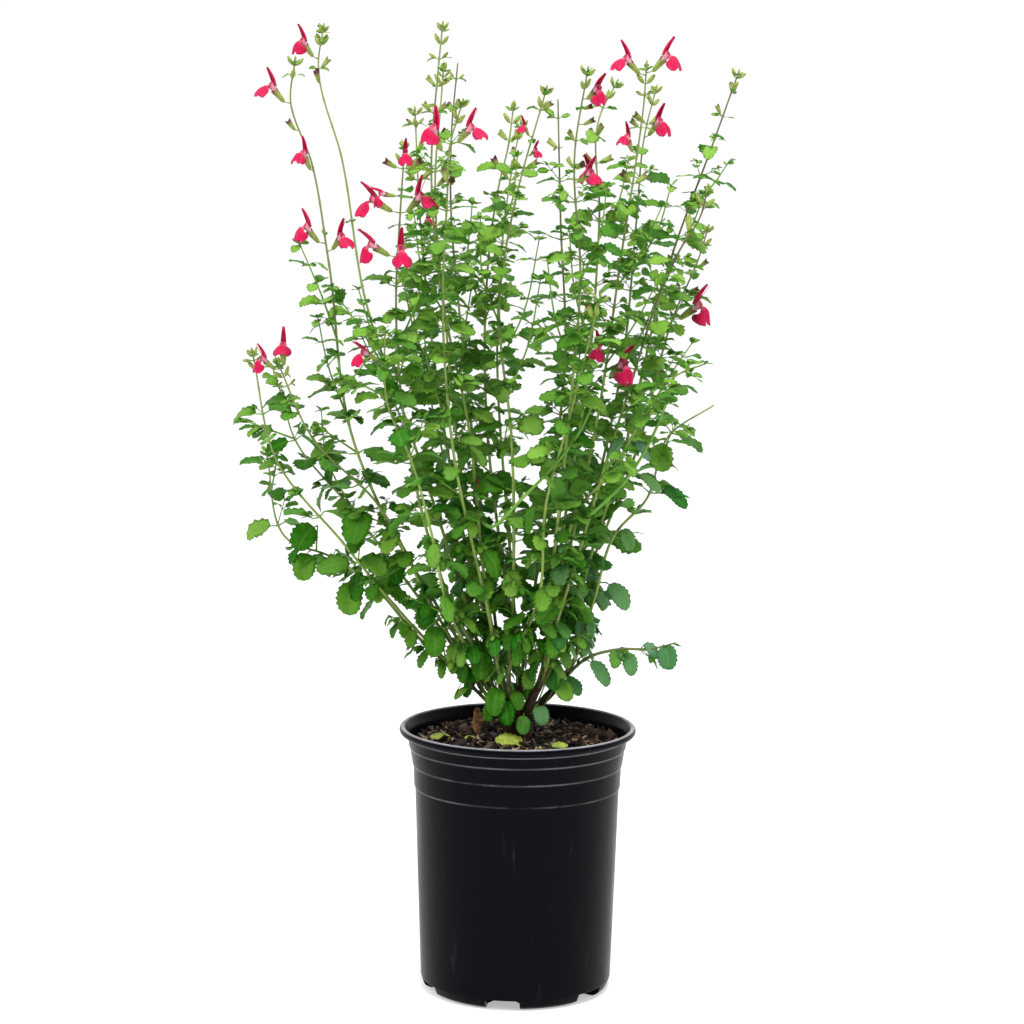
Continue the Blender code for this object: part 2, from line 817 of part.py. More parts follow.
def flower_line(name, path):
    """Where a flower starts on its shoot, and its axis and upright direction."""
    _, height, way, scale = FLOWERS[name]
    s = path.distance_at_height(height)
    tangent, _, _ = path.frame(s)
    axis = unit(np.array(way, float))
    out = unit(axis - tangent * axis.dot(tangent))
    start = path.point(s) + out * (shoot_radius(path, s) * 1.15 + SEAT_GAP)
    up = np.array([0.0, 0.0, 1.0])
    upright = unit(up - axis * up.dot(axis))
    return start, out, axis, upright, scale


def flower_solid(name, path):
    """A flower: thin stalk, ribbed calyx, tube, narrow hood and broad hanging lip."""
    start, out, axis, upright, scale = flower_line(name, path)
    right = np.cross(axis, upright)
    side_out = np.cross(out, upright)
    solid = Solid()
    size = scale * FLOWER_LENGTH

    def hexagon(centre, radius, across, high):
        angles = np.arange(6) * math.pi / 3
        return centre + radius * (np.cos(angles)[:, None] * across + np.sin(angles)[:, None] * high)

    foot_right = unit(side_out) if np.linalg.norm(side_out) > 0.2 else right
    foot_up = np.cross(foot_right, out)
    calyx = start + out * 0.1 * size + axis * 0.05 * size
    places = [
        (start, 0.018 * size, foot_right, foot_up),
        (calyx, 0.03 * size, right, upright),
        (calyx + axis * 0.32 * size, 0.085 * size, right, upright),
        (calyx + axis * 0.34 * size, 0.055 * size, right, upright),
        (calyx + axis * 0.56 * size, 0.09 * size, right, upright),
    ]
    rings = [solid.add(hexagon(*place)) for place in places]
    solid.faces.append(tuple(reversed(rings[0])))
    for lower, upper in zip(rings, rings[1:]):
        solid.join(lower, upper)
    mouth = rings[-1]
    centre = places[-1][0]
    add_hood(solid, mouth[0:4], centre, axis, right, upright, size)
    add_lip(solid, [mouth[3], mouth[4], mouth[5], mouth[0]], centre, axis, right, upright, size)
    return solid


def add_hood(solid, root, centre, axis, right, upright, size):
    """The narrow upper lip, from the upper half of the tube's mouth."""
    for ahead, rise, half, thick in ((0.16, 0.07, 0.05, 0.06), (0.34, 0.1, 0.025, 0.03)):
        middle = centre + axis * ahead * size + upright * rise * size
        across, high = right * half * size, upright * thick * size
        top = [middle + across / 2 + high, middle - across / 2 + high]
        ring = solid.add([middle + across, *top, middle - across])
        solid.join(root, ring)
        root = ring
    solid.faces.append(tuple(root))


def add_lip(solid, root, centre, axis, right, upright, size):
    """The broad lower lip, from the lower half of the tube's mouth, hanging down."""
    places = ((0.1, 0.12, 0.13), (0.14, 0.3, 0.17), (0.1, 0.42, 0.1))
    for ahead, drop, half in places:
        middle = centre + axis * ahead * size - upright * drop * size
        across = right * half * size
        back = axis * LIP_THICKNESS * size
        under = [middle - across / 2 - back, middle + across / 2 - back]
        ring = solid.add([middle - across, *under, middle + across])
        solid.join(root, ring)
        root = ring
    solid.faces.append(tuple(root))


def fallen_leaf_solid(middle, length, width, bearing):
    """A leaf lying on the soil, 0.4 mm above it at its lowest."""
    angle = math.radians(bearing)
    along = np.array([math.cos(angle), math.sin(angle), 0.0])
    across = np.array([-math.sin(angle), math.cos(angle), 0.0])
    up = np.array([0.0, 0.0, 1.0])
    centre = np.array([middle[0], middle[1], SOIL_TOP + SEAT_GAP + 0.4])
    solid = Solid()
    rings = []
    for share, wide in ((-0.5, 0.1), (-0.2, 0.8), (0.15, 1.0)):
        place = centre + along * share * length
        half = across * wide * width / 2
        lift = up * 0.1 * wide * width
        sides = [place - half + lift, place + half + lift]
        rings.append(solid.add([sides[0], place + up * 0.3, sides[1], place - up * 0.3]))
    rings = [list(reversed(ring)) for ring in rings]
    solid.faces.append(tuple(reversed(rings[0])))
    for lower, upper in zip(rings, rings[1:]):
        solid.join(lower, upper)
    solid.close(rings[-1], centre + along * 0.5 * length + up * 0.6)
    return solid


def face_out(solid):
    """Turns the faces over where the volume comes out negative."""
    points = np.array(solid.vertices)
    volume = 0.0
    for face in solid.faces:
        for i in range(1, len(face) - 1):
            a, b, c = points[[face[0], face[i], face[i + 1]]]
            volume += np.dot(a, np.cross(b, c))
    if volume < 0:
        solid.faces = [tuple(reversed(face)) for face in solid.faces]
    return solid


def main():
    clear_scene()
    leaf_green = material("leaf_green", (0.07, 0.23, 0.045), 0.5)
    crimson = material("crimson_petal", (0.62, 0.01, 0.06), 0.45)
    fallen_yellow = material("fallen_yellow", (0.35, 0.38, 0.05), 0.6)
    blockers = [add_pot().tree(), add_soil().tree(), add_crown().tree()]
    paths = shoot_paths()
    stems = {name: bare_shoot(path).tree() for name, path in paths.items()}
    for name, place in FALLEN_LEAVES.items():
        solid = face_out(fallen_leaf_solid(*place))
        add_object(name, solid.vertices, solid.faces, fallen_yellow)
        blockers.append(solid.tree())
    for name, (shoot, _, _, _) in FLOWERS.items():
        solid = face_out(flower_solid(name, paths[shoot]))
        add_object(name, solid.vertices, solid.faces, crimson)
        blockers.append(solid.tree())
    for index, (name, path) in enumerate(paths.items()):
        others = [tree for other, tree in stems.items() if other != name]
        solid = face_out(build_shoot(index, name, path, blockers + others))
        add_object(f"shoot_{name}", solid.vertices, solid.faces, leaf_green)
        blockers.append(solid.tree())


main()
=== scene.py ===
"""Looks of a perennial salvia in its nursery pot, laid out as a Blender add-on and run as a
script. All sizes in the tables are in mm; the meshes are in metres, in the part's own frame."""

import math

import bpy
import numpy as np
from bpy.props import FloatProperty, FloatVectorProperty, PointerProperty
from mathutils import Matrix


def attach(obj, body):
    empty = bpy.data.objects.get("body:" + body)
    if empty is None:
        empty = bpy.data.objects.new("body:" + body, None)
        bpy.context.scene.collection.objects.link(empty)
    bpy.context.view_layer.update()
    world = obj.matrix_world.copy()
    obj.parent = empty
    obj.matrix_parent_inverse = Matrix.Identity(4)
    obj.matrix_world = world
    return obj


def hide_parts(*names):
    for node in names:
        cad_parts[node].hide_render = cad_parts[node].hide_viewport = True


bl_info = {
    "name": "Potted perennial salvia",
    "version": (1, 0, 0),
    "blender": (4, 5, 0),
    "location": "3D View > Sidebar > Salvia",
    "description": "Builds a flowering salvia in a black nursery pot",
    "category": "Add Mesh",
}

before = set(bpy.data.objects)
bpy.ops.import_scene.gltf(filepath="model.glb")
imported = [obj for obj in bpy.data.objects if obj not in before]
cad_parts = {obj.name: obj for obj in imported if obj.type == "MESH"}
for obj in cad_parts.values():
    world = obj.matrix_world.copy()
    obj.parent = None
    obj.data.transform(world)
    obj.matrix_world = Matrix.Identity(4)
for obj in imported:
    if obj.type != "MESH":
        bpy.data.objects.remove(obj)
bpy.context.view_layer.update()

MM = 0.001
UP = np.array([0.0, 0.0, 1.0])
SEED = 11

# The pot. Its outside is listed as radius and height, from the corner of the foot up.
WALL = 1.6
FLOOR_THICKNESS = 1.5
FLOOR_RAISE = 4.0
PAD_RADIUS = 18.0
FOOT_INNER_RADIUS = 50.0
FOOT_OUTER_RADIUS = 60.0
NOTCH_COUNT = 6
NOTCH_WIDTH = 24.0
NOTCH_HEIGHT = 7.5
NOTCH_AZIMUTH = -8.0
INNER_FLOOR_RADIUS = 62.6
EDGE_ROUNDING = 1.2
WALL_OUTSIDE = [
    (64.5, 2.4), (66.6, 8.0), (71.2, 143.0), (72.0, 144.2), (72.5, 158.4), (73.2, 159.6),
    (74.9, 170.6), (75.6, 171.8), (76.9, 180.0),
]
RIM_ROLL = [
    (80.6, 180.8), (82.1, 181.8), (82.5, 183.4), (81.9, 185.2), (80.3, 186.2), (78.6, 185.4),
]
# The steps' heights also place the painted highlight lines that the plastic's material draws along them.
PLASTIC_LEDGES = (143.7, 159.1, 171.3)  # the heights of the steps in the wall
# In metres, as the plastic's material sees them: the band on top of the rim that takes a painted
# highlight, and the line where the rim's underside meets the wall, which takes a painted highlight too.
RIM_HIGHLIGHT_BAND = (0.18505, 0.18585)
RIM_FOOT_HEIGHT = 0.1791
RIM_FOOT_RADIUS = 0.076
POT_SEGMENTS = 160

# The soil: its side as radius and height, and its top as rings round the crown.
SOIL_TOP = 176.5
SOIL_SIDE = [(0, 6.0), (61, 6.0), (64.5, 9.0), (69.2, 146.0), (71.0, 163.0), (72.6, 172.0)]
SOIL_RADII = (73.2, 1.5)
SOIL_SEGMENTS = 96
SOIL_ROWS = 34
CHIP_COUNT = 1300
CHIP_SPREAD = 72  # how far out the chips' middles lie
CHIP_REACH = 75.0  # how far out their ends may reach

# The woody crown's stump and branches, each with the points it passes through.
STUMP = [(0, 0, 160), (0, 0, 176), (0.5, 0, 189)]
BRANCH_OVERRUN = 2.0  # how far a branch covers the feet of its shoots
# First radius, how much it shrinks, and the power of the distance it shrinks with.
STUMP_TAPER = (9.4, 5.0, 2)
BRANCH_TAPER = (3.4, 1.2, 1)
LEANING_TAPER = (3.7, 1.2, 1)
BRANCHES = {
    "left_high": [(-4, 0, 179), (-9, -1, 194), (-17, -3, 210)],
    "left_low": [(-4, 2, 177), (-11, 3, 191), (-22, 5, 204)],
    "back_left": [(-3, 4, 181), (-7, 9, 197), (-12, 15, 214)],
    "centre_front": [(-2, -4, 181), (-4, -8, 196), (-7, -13, 211)],
    "back_centre": [(1, 4, 183), (1, 8, 200), (1, 12, 219)],
    "right_front": [(3, -4, 181), (8, -10, 200), (16, -17, 221)],
    "back_right": [(3, 3, 181), (9, 8, 201), (20, 14, 223)],
    "leaning_right": [(5, 0, 178), (11, 0, 195), (26, -1, 213), (35, -1, 225)],
}
SHOOT_SPACING = 2.6  # between the feet of neighbouring shoots on a branch
SEAT_GAP = 0.3
SHOOT_LEAD = 5.0  # how far a shoot first goes on the way of its branch
SHOOT_ROOT = 7.0  # how far its stem runs down into the branch

# The shoots: the branch that carries each, the length of its flowering tip, how green (0) or
# purple-brown (1) its stem is, and its points from the foot to the tip.
SHOOTS = {
    "left_tall": ("left_high", 150, 0.45, [(-55, -4, 268), (-93, -10, 334), (-113, -13, 382),
        (-131, -22, 510), (-142, -26, 575), (-156, -29, 618), (-153, -30, 641)]),
    "left_tall_slim": ("left_high", 200, 0.35, [(-39, 8, 277), (-77, 20, 390), (-108, 28, 478),
        (-125, 37, 575), (-142, 43, 645), (-139, 45, 665)]),
    "left_dark_calyx": ("left_high", 90, 0.5, [(-45, -22, 272), (-76, -52, 391), (-83, -76, 486),
        (-80, -88, 544), (-77, -95, 587)]),
    "left_slim": ("back_left", 60, 0.4, [(-32, 25, 282), (-57, 45, 410), (-72, 59, 538),
        (-76, 70, 609)]),
    "centre_left_tall": ("centre_front", 70, 0.35, [(-20, -17, 267), (-36, -32, 403),
        (-54, -39, 489), (-61, -49, 574), (-57, -56, 633), (-54, -60, 664)]),
    "centre_left": ("back_left", 60, 0.2, [(-32, 17, 302), (-52, 17, 461), (-60, 17, 573),
        (-57, 19, 611), (-55, 20, 639)]),
    "cut_left": ("back_left", 40, 0.75, [(-24, 36, 312), (-43, 70, 460), (-51, 88, 547),
        (-51, 97, 594), (-47, 105, 644)]),
    "paired_flowers": ("centre_front", 60, 0.2, [(-20, -24, 265), (-46, -60, 392), (-52, -84, 487),
        (-49, -101, 559), (-48, -107, 585), (-40, -115, 614)]),
    "centre_slim": ("back_centre", 50, 0.3, [(-10, 6, 289), (-23, -8, 397), (-25, -15, 463),
        (-16, -19, 562), (-10, -20, 588), (-7, -20, 613)]),
    "centre_back": ("back_centre", 60, 0.4, [(-6, 36, 297), (-17, 90, 456), (-10, 115, 554),
        (-2, 125, 601)]),
    "centre_leaning": ("centre_front", 60, 0.25, [(-4, -20, 282), (-6, -40, 390), (-15, -55, 486),
        (-5, -65, 552), (14, -75, 623)]),
    "cut_centre": ("back_centre", 40, 0.6, [(14, 25, 300), (31, 43, 449), (27, 52, 529),
        (24, 62, 619)]),
    "right_hooked": ("right_front", 70, 0.45, [(22, -34, 293), (33, -65, 420), (38, -84, 501),
        (33, -103, 586), (40, -115, 635)]),
    "right_light": ("back_right", 60, 0.1, [(28, 12, 302), (48, 18, 447), (53, 24, 538),
        (54, 29, 612), (63, 30, 629)]),
    "right_tall": ("right_front", 80, 0.4, [(28, -18, 277), (54, -25, 416), (67, -31, 519),
        (76, -35, 583), (80, -38, 619), (81, -40, 640)]),
    "right_back": ("back_right", 50, 0.45, [(36, 26, 282), (73, 63, 444), (81, 81, 535),
        (87, 94, 598), (94, 100, 626)]),
    "far_right": ("leaning_right", 50, 0.95, [(41, 5, 265), (72, 8, 379), (102, 10, 511),
        (131, 16, 593), (146, 20, 636)]),
    "right_cluster": ("right_front", 40, 0.8, [(32, -30, 284), (71, -20, 415), (104, -60, 520),
        (118, -63, 545), (121, -65, 560)]),
    "right_bud": ("back_right", 50, 0.5, [(45, 20, 283), (84, 36, 383), (106, 50, 467),
        (126, 58, 515), (130, 60, 529)]),
    "right_thick": ("right_front", 0, 0.0, [(27, -24, 291), (41, -38, 346), (59, -52, 368),
        (81, -62, 408), (102, -74, 438), (121, -82, 447)]),
    "right_tendril": ("leaning_right", 30, 0.3, [(52, -7, 277), (66, -8, 323), (87, -4, 346),
        (102, 0, 390), (133, 5, 411)]),
    "low_tendril": ("leaning_right", 0, 0.1, [(50, -9, 237), (72, -13, 243), (91, -17, 244),
        (108, -20, 249)]),
    "front_upright": ("centre_front", 20, 0.1, [(14, -37, 284), (17, -60, 347), (31, -84, 407),
        (50, -110, 490)]),
    "front_left": ("left_high", 0, 0.0, [(-50, -34, 281), (-60, -58, 332), (-72, -76, 379),
        (-88, -92, 421), (-89, -108, 469)]),
    "left_flowering": ("left_low", 30, 0.25, [(-62, -8, 275), (-97, -14, 342), (-143, -14, 389),
        (-166, -12, 439)]),
    "left_arching": ("left_low", 0, 0.3, [(-69, 18, 271), (-119, 37, 333), (-161, 50, 384),
        (-169, 57, 415)]),
    "leftmost": ("left_low", 20, 0.1, [(-77, 2, 259), (-122, -3, 314), (-167, -8, 371),
        (-183, -14, 445)]),
    "left_hanging": ("left_low", 0, 0.1, [(-72, 14, 247), (-102, 20, 280), (-134, 24, 301),
        (-161, 28, 310), (-178, 32, 373)]),
    "back_left_tall": ("back_left", 20, 0.3, [(-28, 40, 272), (-58, 90, 376), (-81, 128, 474)]),
    "back_right_tall": ("back_right", 20, 0.3, [(24, 40, 279), (35, 86, 373), (48, 128, 481)]),
}
CUT_SHOOTS = ("cut_left", "cut_centre", "right_tendril")
# Long thin shoots that have lost every third pair of leaves.
SPARSE_SHOOTS = ("left_flowering", "leftmost")
# Shoots whose flowering tip has lost most bracts and calyxes, and the length at the end that
# still has them all.
STRIPPED = {"left_tall": 22.0, "left_tall_slim": 30.0, "right_tendril": 0.0}
SHOOT_FOOT_RADIUS = 1.35
SHOOT_TIP_RADIUS = 0.55
STEM_STEP = 3.0
JOINT_SWELL = 0.3  # how much thicker a stem is at a leaf pair, and how far that reaches
JOINT_REACH = 1.8
STEM_SQUARE = 0.07
STEM_BROWN = (200, 450)  # the height where the stems' look starts, and its range
CROWN_ROWS = 30
STEM_SIDES = 8

# The leaf pairs of a shoot: distances along it, heights, lengths, and shares of pairs.
FIRST_PAIR = 12.0
PAIR_SPACING = 21.0
STRIPPED_KEEPS = 5  # a stripped tip keeps one pair in this many
SPARSE_LOSES = 3  # a sparse shoot has lost one pair in this many
LOW_HEIGHT = 300.0
HIGH_HEIGHT = 600.0
LOW_LEAF = 23.0
HIGH_LEAF = 13.0
BRACT = 6.0
RACEME_LEAF = 15.0  # the length of the few full leaves on a flowering tip
RACEME_LEAF_SHARE = 0.22
RACEME_LEAF_END = 25.0  # how far under the tip the last of them is
# Leaves hang below the second height and spread above the first; they take a painted bluish green
# sheen from the second x on; their tone rises from the first height to the second.
HANGING_HEIGHTS = (330.0, 240.0)
PAINTED_SHEEN_SIDE = (15.0, 55.0)
TONE_HEIGHTS = (260.0, 600.0)
LARGE_LEAF = 9.0  # a longer leaf takes the finer grid
LARGE_GRID = (11, 5)
SMALL_GRID = (5, 3)
LOW_GRID = (15, 7)
FALLEN_GRID = (13, 7)
# How much longer than the plain slope between LOW_LEAF and HIGH_LEAF the leaves are by height.
GROWTH_HEIGHTS = (225.0, 270.0, 380.0, 450.0, 520.0)
GROWTH = (0.5, 0.88, 1.03, 1.0, 1.2)
LEAF_THICKNESS = 0.22
FLOWER_ROOM = 4.0  # the stem this near a flower carries no leaf pair
# The shoots in a leaf's axil: the share of leaves with a long one, and its reach, its leaf's
# length and the height above which there is none; the share with any; and the reach from
# which each has another pair.
LONG_AXIL_SHARE = 0.12
LONG_AXIL = (16, 36)
LONG_AXIL_LEAF = 10.0
LONG_AXIL_TOP = 500
AXIL_SHARE = 0.55
AXIL_PAIR_REACH = (5, 22, 34)
# How a leaf lies: how far it turns aside and ahead, the degrees its stalk rises by, how far its
# face leans out and to the front, and its width as a share of its length.
LEAF_ASIDE = 0.45
LEAF_AHEAD = 0.35
STALK_RISE = (10, 35)
LEAF_LEAN = -0.28
TO_FRONT = np.array([0.0, -0.7, 0.0])
LEAF_WIDTH = 0.57
LOW_LEAF_WIDTH = 0.15  # what the broadest low leaves have more
WIDTH_SPREAD = (0.85, 1.14)
# The first and last angle of its midrib in degrees, how far each drops when it hangs, and how
# far each varies; and how far its roll varies.
MIDRIB_START = (14, 52, 28)
MIDRIB_END = (-34, 48, 30)
LEAF_ROLL = 42
STALK_TAPER = np.array([1.2, 0.95, 0.85])
# The share of leaves that are young and light, and the share that hang under a height.
YOUNG_SHARE = 0.2
YOUNG_TONE = 0.75
DROOPING_SHARE = 0.14
DROOPING_TOP = 400

# The flowers: the shoot, the height of the node, the way the flower points and its scale.
FLOWER_LENGTH = 26.0
PETAL_THICKNESS = 0.22
FLOWERS = {
    "flower_top_left": ("left_tall_slim", 643, (-0.5, -0.3, 0.75), 1.0),
    "flower_left_upper": ("left_tall", 613, (-0.6, -0.25, 0.75), 1.05),
    "flower_left_middle": ("left_tall", 572, (-0.35, -0.35, 0.85), 0.95),
    "flower_left_pair_a": ("left_tall", 519, (-0.6, -0.2, 0.75), 1.05),
    "flower_left_pair_b": ("left_tall", 515, (0.5, -0.5, 0.7), 1.0),
    "flower_calyx_tip": ("left_dark_calyx", 577, (0.1, -0.75, 0.6), 0.85),
    "flower_pale": ("left_dark_calyx", 545, (-0.8, -0.25, 0.48), 1.15),
    "flower_pale_right": ("left_dark_calyx", 543, (0.6, -0.3, 0.7), 1.1),
    "flower_slim_side": ("left_slim", 530, (0.35, -0.6, 0.7), 0.75),
    "flower_level_left": ("left_dark_calyx", 513, (-0.8, -0.2, 0.48), 1.1),
    "flower_front": ("left_dark_calyx", 509, (0.15, -0.7, 0.65), 1.15),
    "flower_upright": ("paired_flowers", 583, (-0.35, -0.3, 0.88), 1.2),
    "flower_upright_right": ("paired_flowers", 590, (0.65, -0.3, 0.7), 1.05),
    "flower_top_right_a": ("right_tall", 634, (-0.65, -0.3, 0.7), 1.05),
    "flower_top_right_b": ("right_tall", 637, (0.62, -0.3, 0.72), 1.1),
    "flower_hanging": ("right_hooked", 619, (0.5, -0.7, 0.5), 1.0),
    "flower_back_right": ("right_back", 595, (0.5, -0.5, 0.7), 1.1),
    "flower_small_right": ("right_tall", 584, (-0.35, -0.3, 0.87), 0.85),
    "flower_cluster": ("right_light", 565, (-0.35, -0.7, 0.6), 1.0),
    "flower_bud_side": ("right_bud", 468, (0.75, -0.3, 0.58), 1.3),
    "flower_left_cluster": ("left_flowering", 435, (0.0, -0.35, 0.93), 1.1),
    "flower_low_left": ("front_left", 448, (-0.75, -0.45, 0.45), 0.9),
    "flower_big_right": ("right_tall", 431, (0.5, -0.65, 0.55), 1.3),
}

# More flowers and large calyxes that are in the looks only: the shoot, the height of the node,
# the way each points, its scale, and whether it still has its petals.
MORE_FLOWERS = [
    ("left_dark_calyx", 556, (-0.9, -0.3, 0.15), 0.75, True),
    ("left_dark_calyx", 574, (-0.75, -0.35, 0.45), 0.95, False),
    ("left_dark_calyx", 572, (0.7, -0.3, 0.5), 1.0, False),
    ("right_hooked", 567, (0.55, -0.6, 0.55), 0.9, True),
    ("centre_leaning", 592, (-0.4, -0.5, 0.8), 0.6, True),
    ("centre_leaning", 584, (0.5, -0.6, 0.5), 0.55, True),
    ("left_flowering", 434, (-0.7, -0.3, 0.6), 0.9, True),
    ("right_tall", 438, (-0.25, -0.55, 0.8), 1.0, True),
    ("centre_left_tall", 357, (0.2, -0.9, 0.3), 0.4, True),
    ("right_bud", 503, (0.7, -0.4, 0.6), 0.8, False),
    ("right_bud", 501, (-0.5, -0.5, 0.6), 0.75, False),
    ("right_bud", 488, (0.85, -0.3, 0.3), 0.7, False),
    ("left_tall_slim", 627, (-0.2, -0.4, 0.85), 0.95, False),
    ("left_tall", 597, (-0.5, -0.3, 0.7), 0.85, False),
    ("cut_left", 566, (-0.3, -0.5, 0.7), 0.8, False),
    ("centre_left_tall", 562, (0.6, -0.4, 0.6), 0.9, False),
    ("right_hooked", 601, (0.6, -0.3, 0.3), 0.8, False),
]

# Fallen leaves: middle, length, width and bearing; the dry leaf has the angle it stands at too.
FALLEN_LEAVES = {
    "fallen_leaf_front": ((-6, -24), 20.0, 12.0, 10.0),
    "fallen_leaf_left": ((-54, -8), 15.0, 7.0, 165.0),
    "fallen_leaf_right": ((29, -32), 12.0, 6.0, -15.0),
}
DRY_LEAF = ((-28, 12), 20.0, 8.0, 90.0, 1.2)
MORE_FALLEN = [
    ((-33, -8), 8.0, 4.5, 10.0),
    ((2, -28), 8.0, 5.0, 60.0),
    ((16, -36), 6.0, 3.5, 80.0),
]

SPROUT_TOP = 196  # no thin sprout of a low leaf leaves the crown above this height
# Low leaves that hang round the crown: where each blade starts, the bearing it leans to (0 is
# right, -90 the front), its length, its share of width, and how much painted bluish green sheen it has.
LOW_LEAVES = [
    ((-14, -15, 215), -105, 22, 0.62, 0.0),
    ((-9, -18, 206), -75, 18, 0.66, 0.0),
    ((-16, -16, 204), -130, 14, 0.7, 0.0),
    ((-3, -14, 213), -60, 15, 0.65, 0.0),
    ((4, -20, 197), -95, 14, 0.72, 0.1),
    ((14, -17, 203), -65, 15, 0.75, 0.5),
    ((24, -14, 230), -85, 17, 0.72, 0.1),
    ((33, -8, 222), -35, 17, 0.62, 0.3),
    ((9, -14, 228), -110, 15, 0.66, 0.0),
    ((-23, -10, 240), -110, 22, 0.66, 0.0),
    ((-38, -6, 240), -150, 17, 0.66, 0.0),
    ((-4, 12, 214), 60, 16, 0.7, 0.0),
    ((10, 14, 210), 100, 15, 0.7, 0.2),
    ((-14, 12, 226), 140, 17, 0.7, 0.0),
    ((20, 10, 234), 50, 18, 0.7, 0.2),
]

# Bare light side shoots that arch across the front: the shoot each grows from, the height
# where it leaves it, and the points it passes through.
BARE_TWIGS = [
    ("centre_left_tall", 330, [
        (-14, -70, 338), (2, -74, 356), (20, -76, 375), (37, -76, 397), (50, -74, 424)]),
    ("right_tall", 335, [
        (50, -58, 345), (70, -62, 366), (86, -60, 392), (94, -58, 410), (102, -56, 436)]),
]

# Broad leaves that hang from the outer shoots, in the same order of values.
HANGING_LEAVES = [
    ((-143, 16, 322), -150, 21, 0.85, 0.0),
    ((-148, 18, 303), -110, 20, 0.8, 0.0),
    ((-117, 12, 284), -95, 24, 0.75, 0.0),
    ((-105, -14, 337), -130, 26, 0.8, 0.0),
    ((92, -8, 384), -50, 20, 0.85, 0.0),
    ((99, -10, 355), -15, 21, 0.5, 0.1),
    ((82, -10, 364), -20, 19, 0.5, 0.45),
    ((62, -12, 288), -40, 23, 0.55, 0.5),
    ((70, -12, 326), -50, 17, 0.6, 0.45),
    ((50, -14, 234), -20, 21, 0.55, 0.5),
    ((75, -14, 240), -70, 17, 0.6, 0.4),
    ((101, -18, 246), -70, 17, 0.8, 0.4),
    ((25, -14, 219), -25, 17, 0.75, 0.0),
    ((-57, -20, 259), -95, 22, 0.7, 0.0),
]

# Leafy side shoots that are in the looks only: the shoot that each grows from, the height
# where it leaves it, and the points it passes through.
TWIGS = [
    ("left_tall", 452, [(-135, -25, 485), (-150, -24, 520)]),
    ("left_tall", 405, [(-132, -18, 440), (-138, -20, 470)]),
    ("left_tall_slim", 430, [(-112, 14, 462), (-128, 6, 486)]),
    ("left_tall_slim", 385, [(-96, 20, 425), (-110, 14, 455)]),
    ("left_dark_calyx", 420, [(-95, -66, 452), (-108, -66, 492)]),
    ("left_dark_calyx", 455, [(-68, -82, 490), (-64, -90, 525)]),
    ("left_arching", 330, [(-136, 40, 368), (-140, 44, 400)]),
    ("left_slim", 420, [(-74, 42, 455), (-84, 40, 500)]),
    ("paired_flowers", 400, [(-60, -70, 435), (-66, -76, 478)]),
    ("centre_left_tall", 430, [(-38, -52, 465), (-32, -58, 505)]),
    ("centre_left", 470, [(-68, 10, 500), (-74, 4, 540)]),
    ("centre_slim", 470, [(-36, -26, 505), (-34, -34, 548)]),
    ("centre_slim", 520, [(-8, -30, 548), (-4, -34, 580)]),
    ("centre_leaning", 470, [(-26, -66, 500), (-28, -72, 540)]),
    ("centre_leaning", 420, [(4, -58, 455), (12, -66, 500)]),
    ("centre_back", 430, [(2, 76, 470), (12, 78, 520)]),
    ("right_hooked", 440, [(22, -82, 475), (16, -90, 515)]),
    ("right_hooked", 500, [(50, -94, 530), (54, -98, 562)]),
    ("right_light", 450, [(36, 10, 490), (32, 4, 530)]),
    ("right_light", 520, [(66, 18, 550), (72, 14, 578)]),
    ("right_tall", 440, [(76, -40, 470), (90, -46, 498)]),
    ("right_tall", 490, [(80, -44, 520), (92, -50, 548)]),
    ("right_back", 430, [(86, 50, 460), (98, 44, 492)]),
    ("right_back", 500, [(96, 66, 530), (104, 60, 560)]),
    ("far_right", 500, [(114, 4, 530), (124, 0, 556)]),
    ("far_right", 545, [(130, 8, 562), (139, 4, 576)]),
    ("right_cluster", 400, [(90, -30, 425), (104, -34, 448)]),
    ("right_bud", 400, [(104, 26, 430), (118, 22, 452)]),
]


def unit(vectors):
    """Vectors at length one."""
    return vectors / np.maximum(np.linalg.norm(vectors, axis=-1, keepdims=True), 1e-9)


def hashed(*keys):
    """A number from 0 to 1 that depends only on the keys."""
    mixed = sum(k * f for k, f in zip(keys, (12.9898, 78.233, 37.719)))
    value = math.sin(mixed) * 43758.5453
    return value - math.floor(value)


def spread(low, high, *keys):
    """A number from low to high that depends only on the keys."""
    return low + (high - low) * hashed(*keys)


def share_of(value, low, high):
    """How far a value is from low to high, from 0 to 1."""
    return min(max((value - low) / (high - low), 0), 1)


def bearing_way(bearing):
    """The level direction of a bearing in degrees: 0 is right, 90 the back."""
    angle = math.radians(bearing)
    return np.array([math.cos(angle), math.sin(angle), 0.0])


def around(angle, a, b):
    """The direction at an angle from a towards b."""
    return math.cos(angle) * a + math.sin(angle) * b


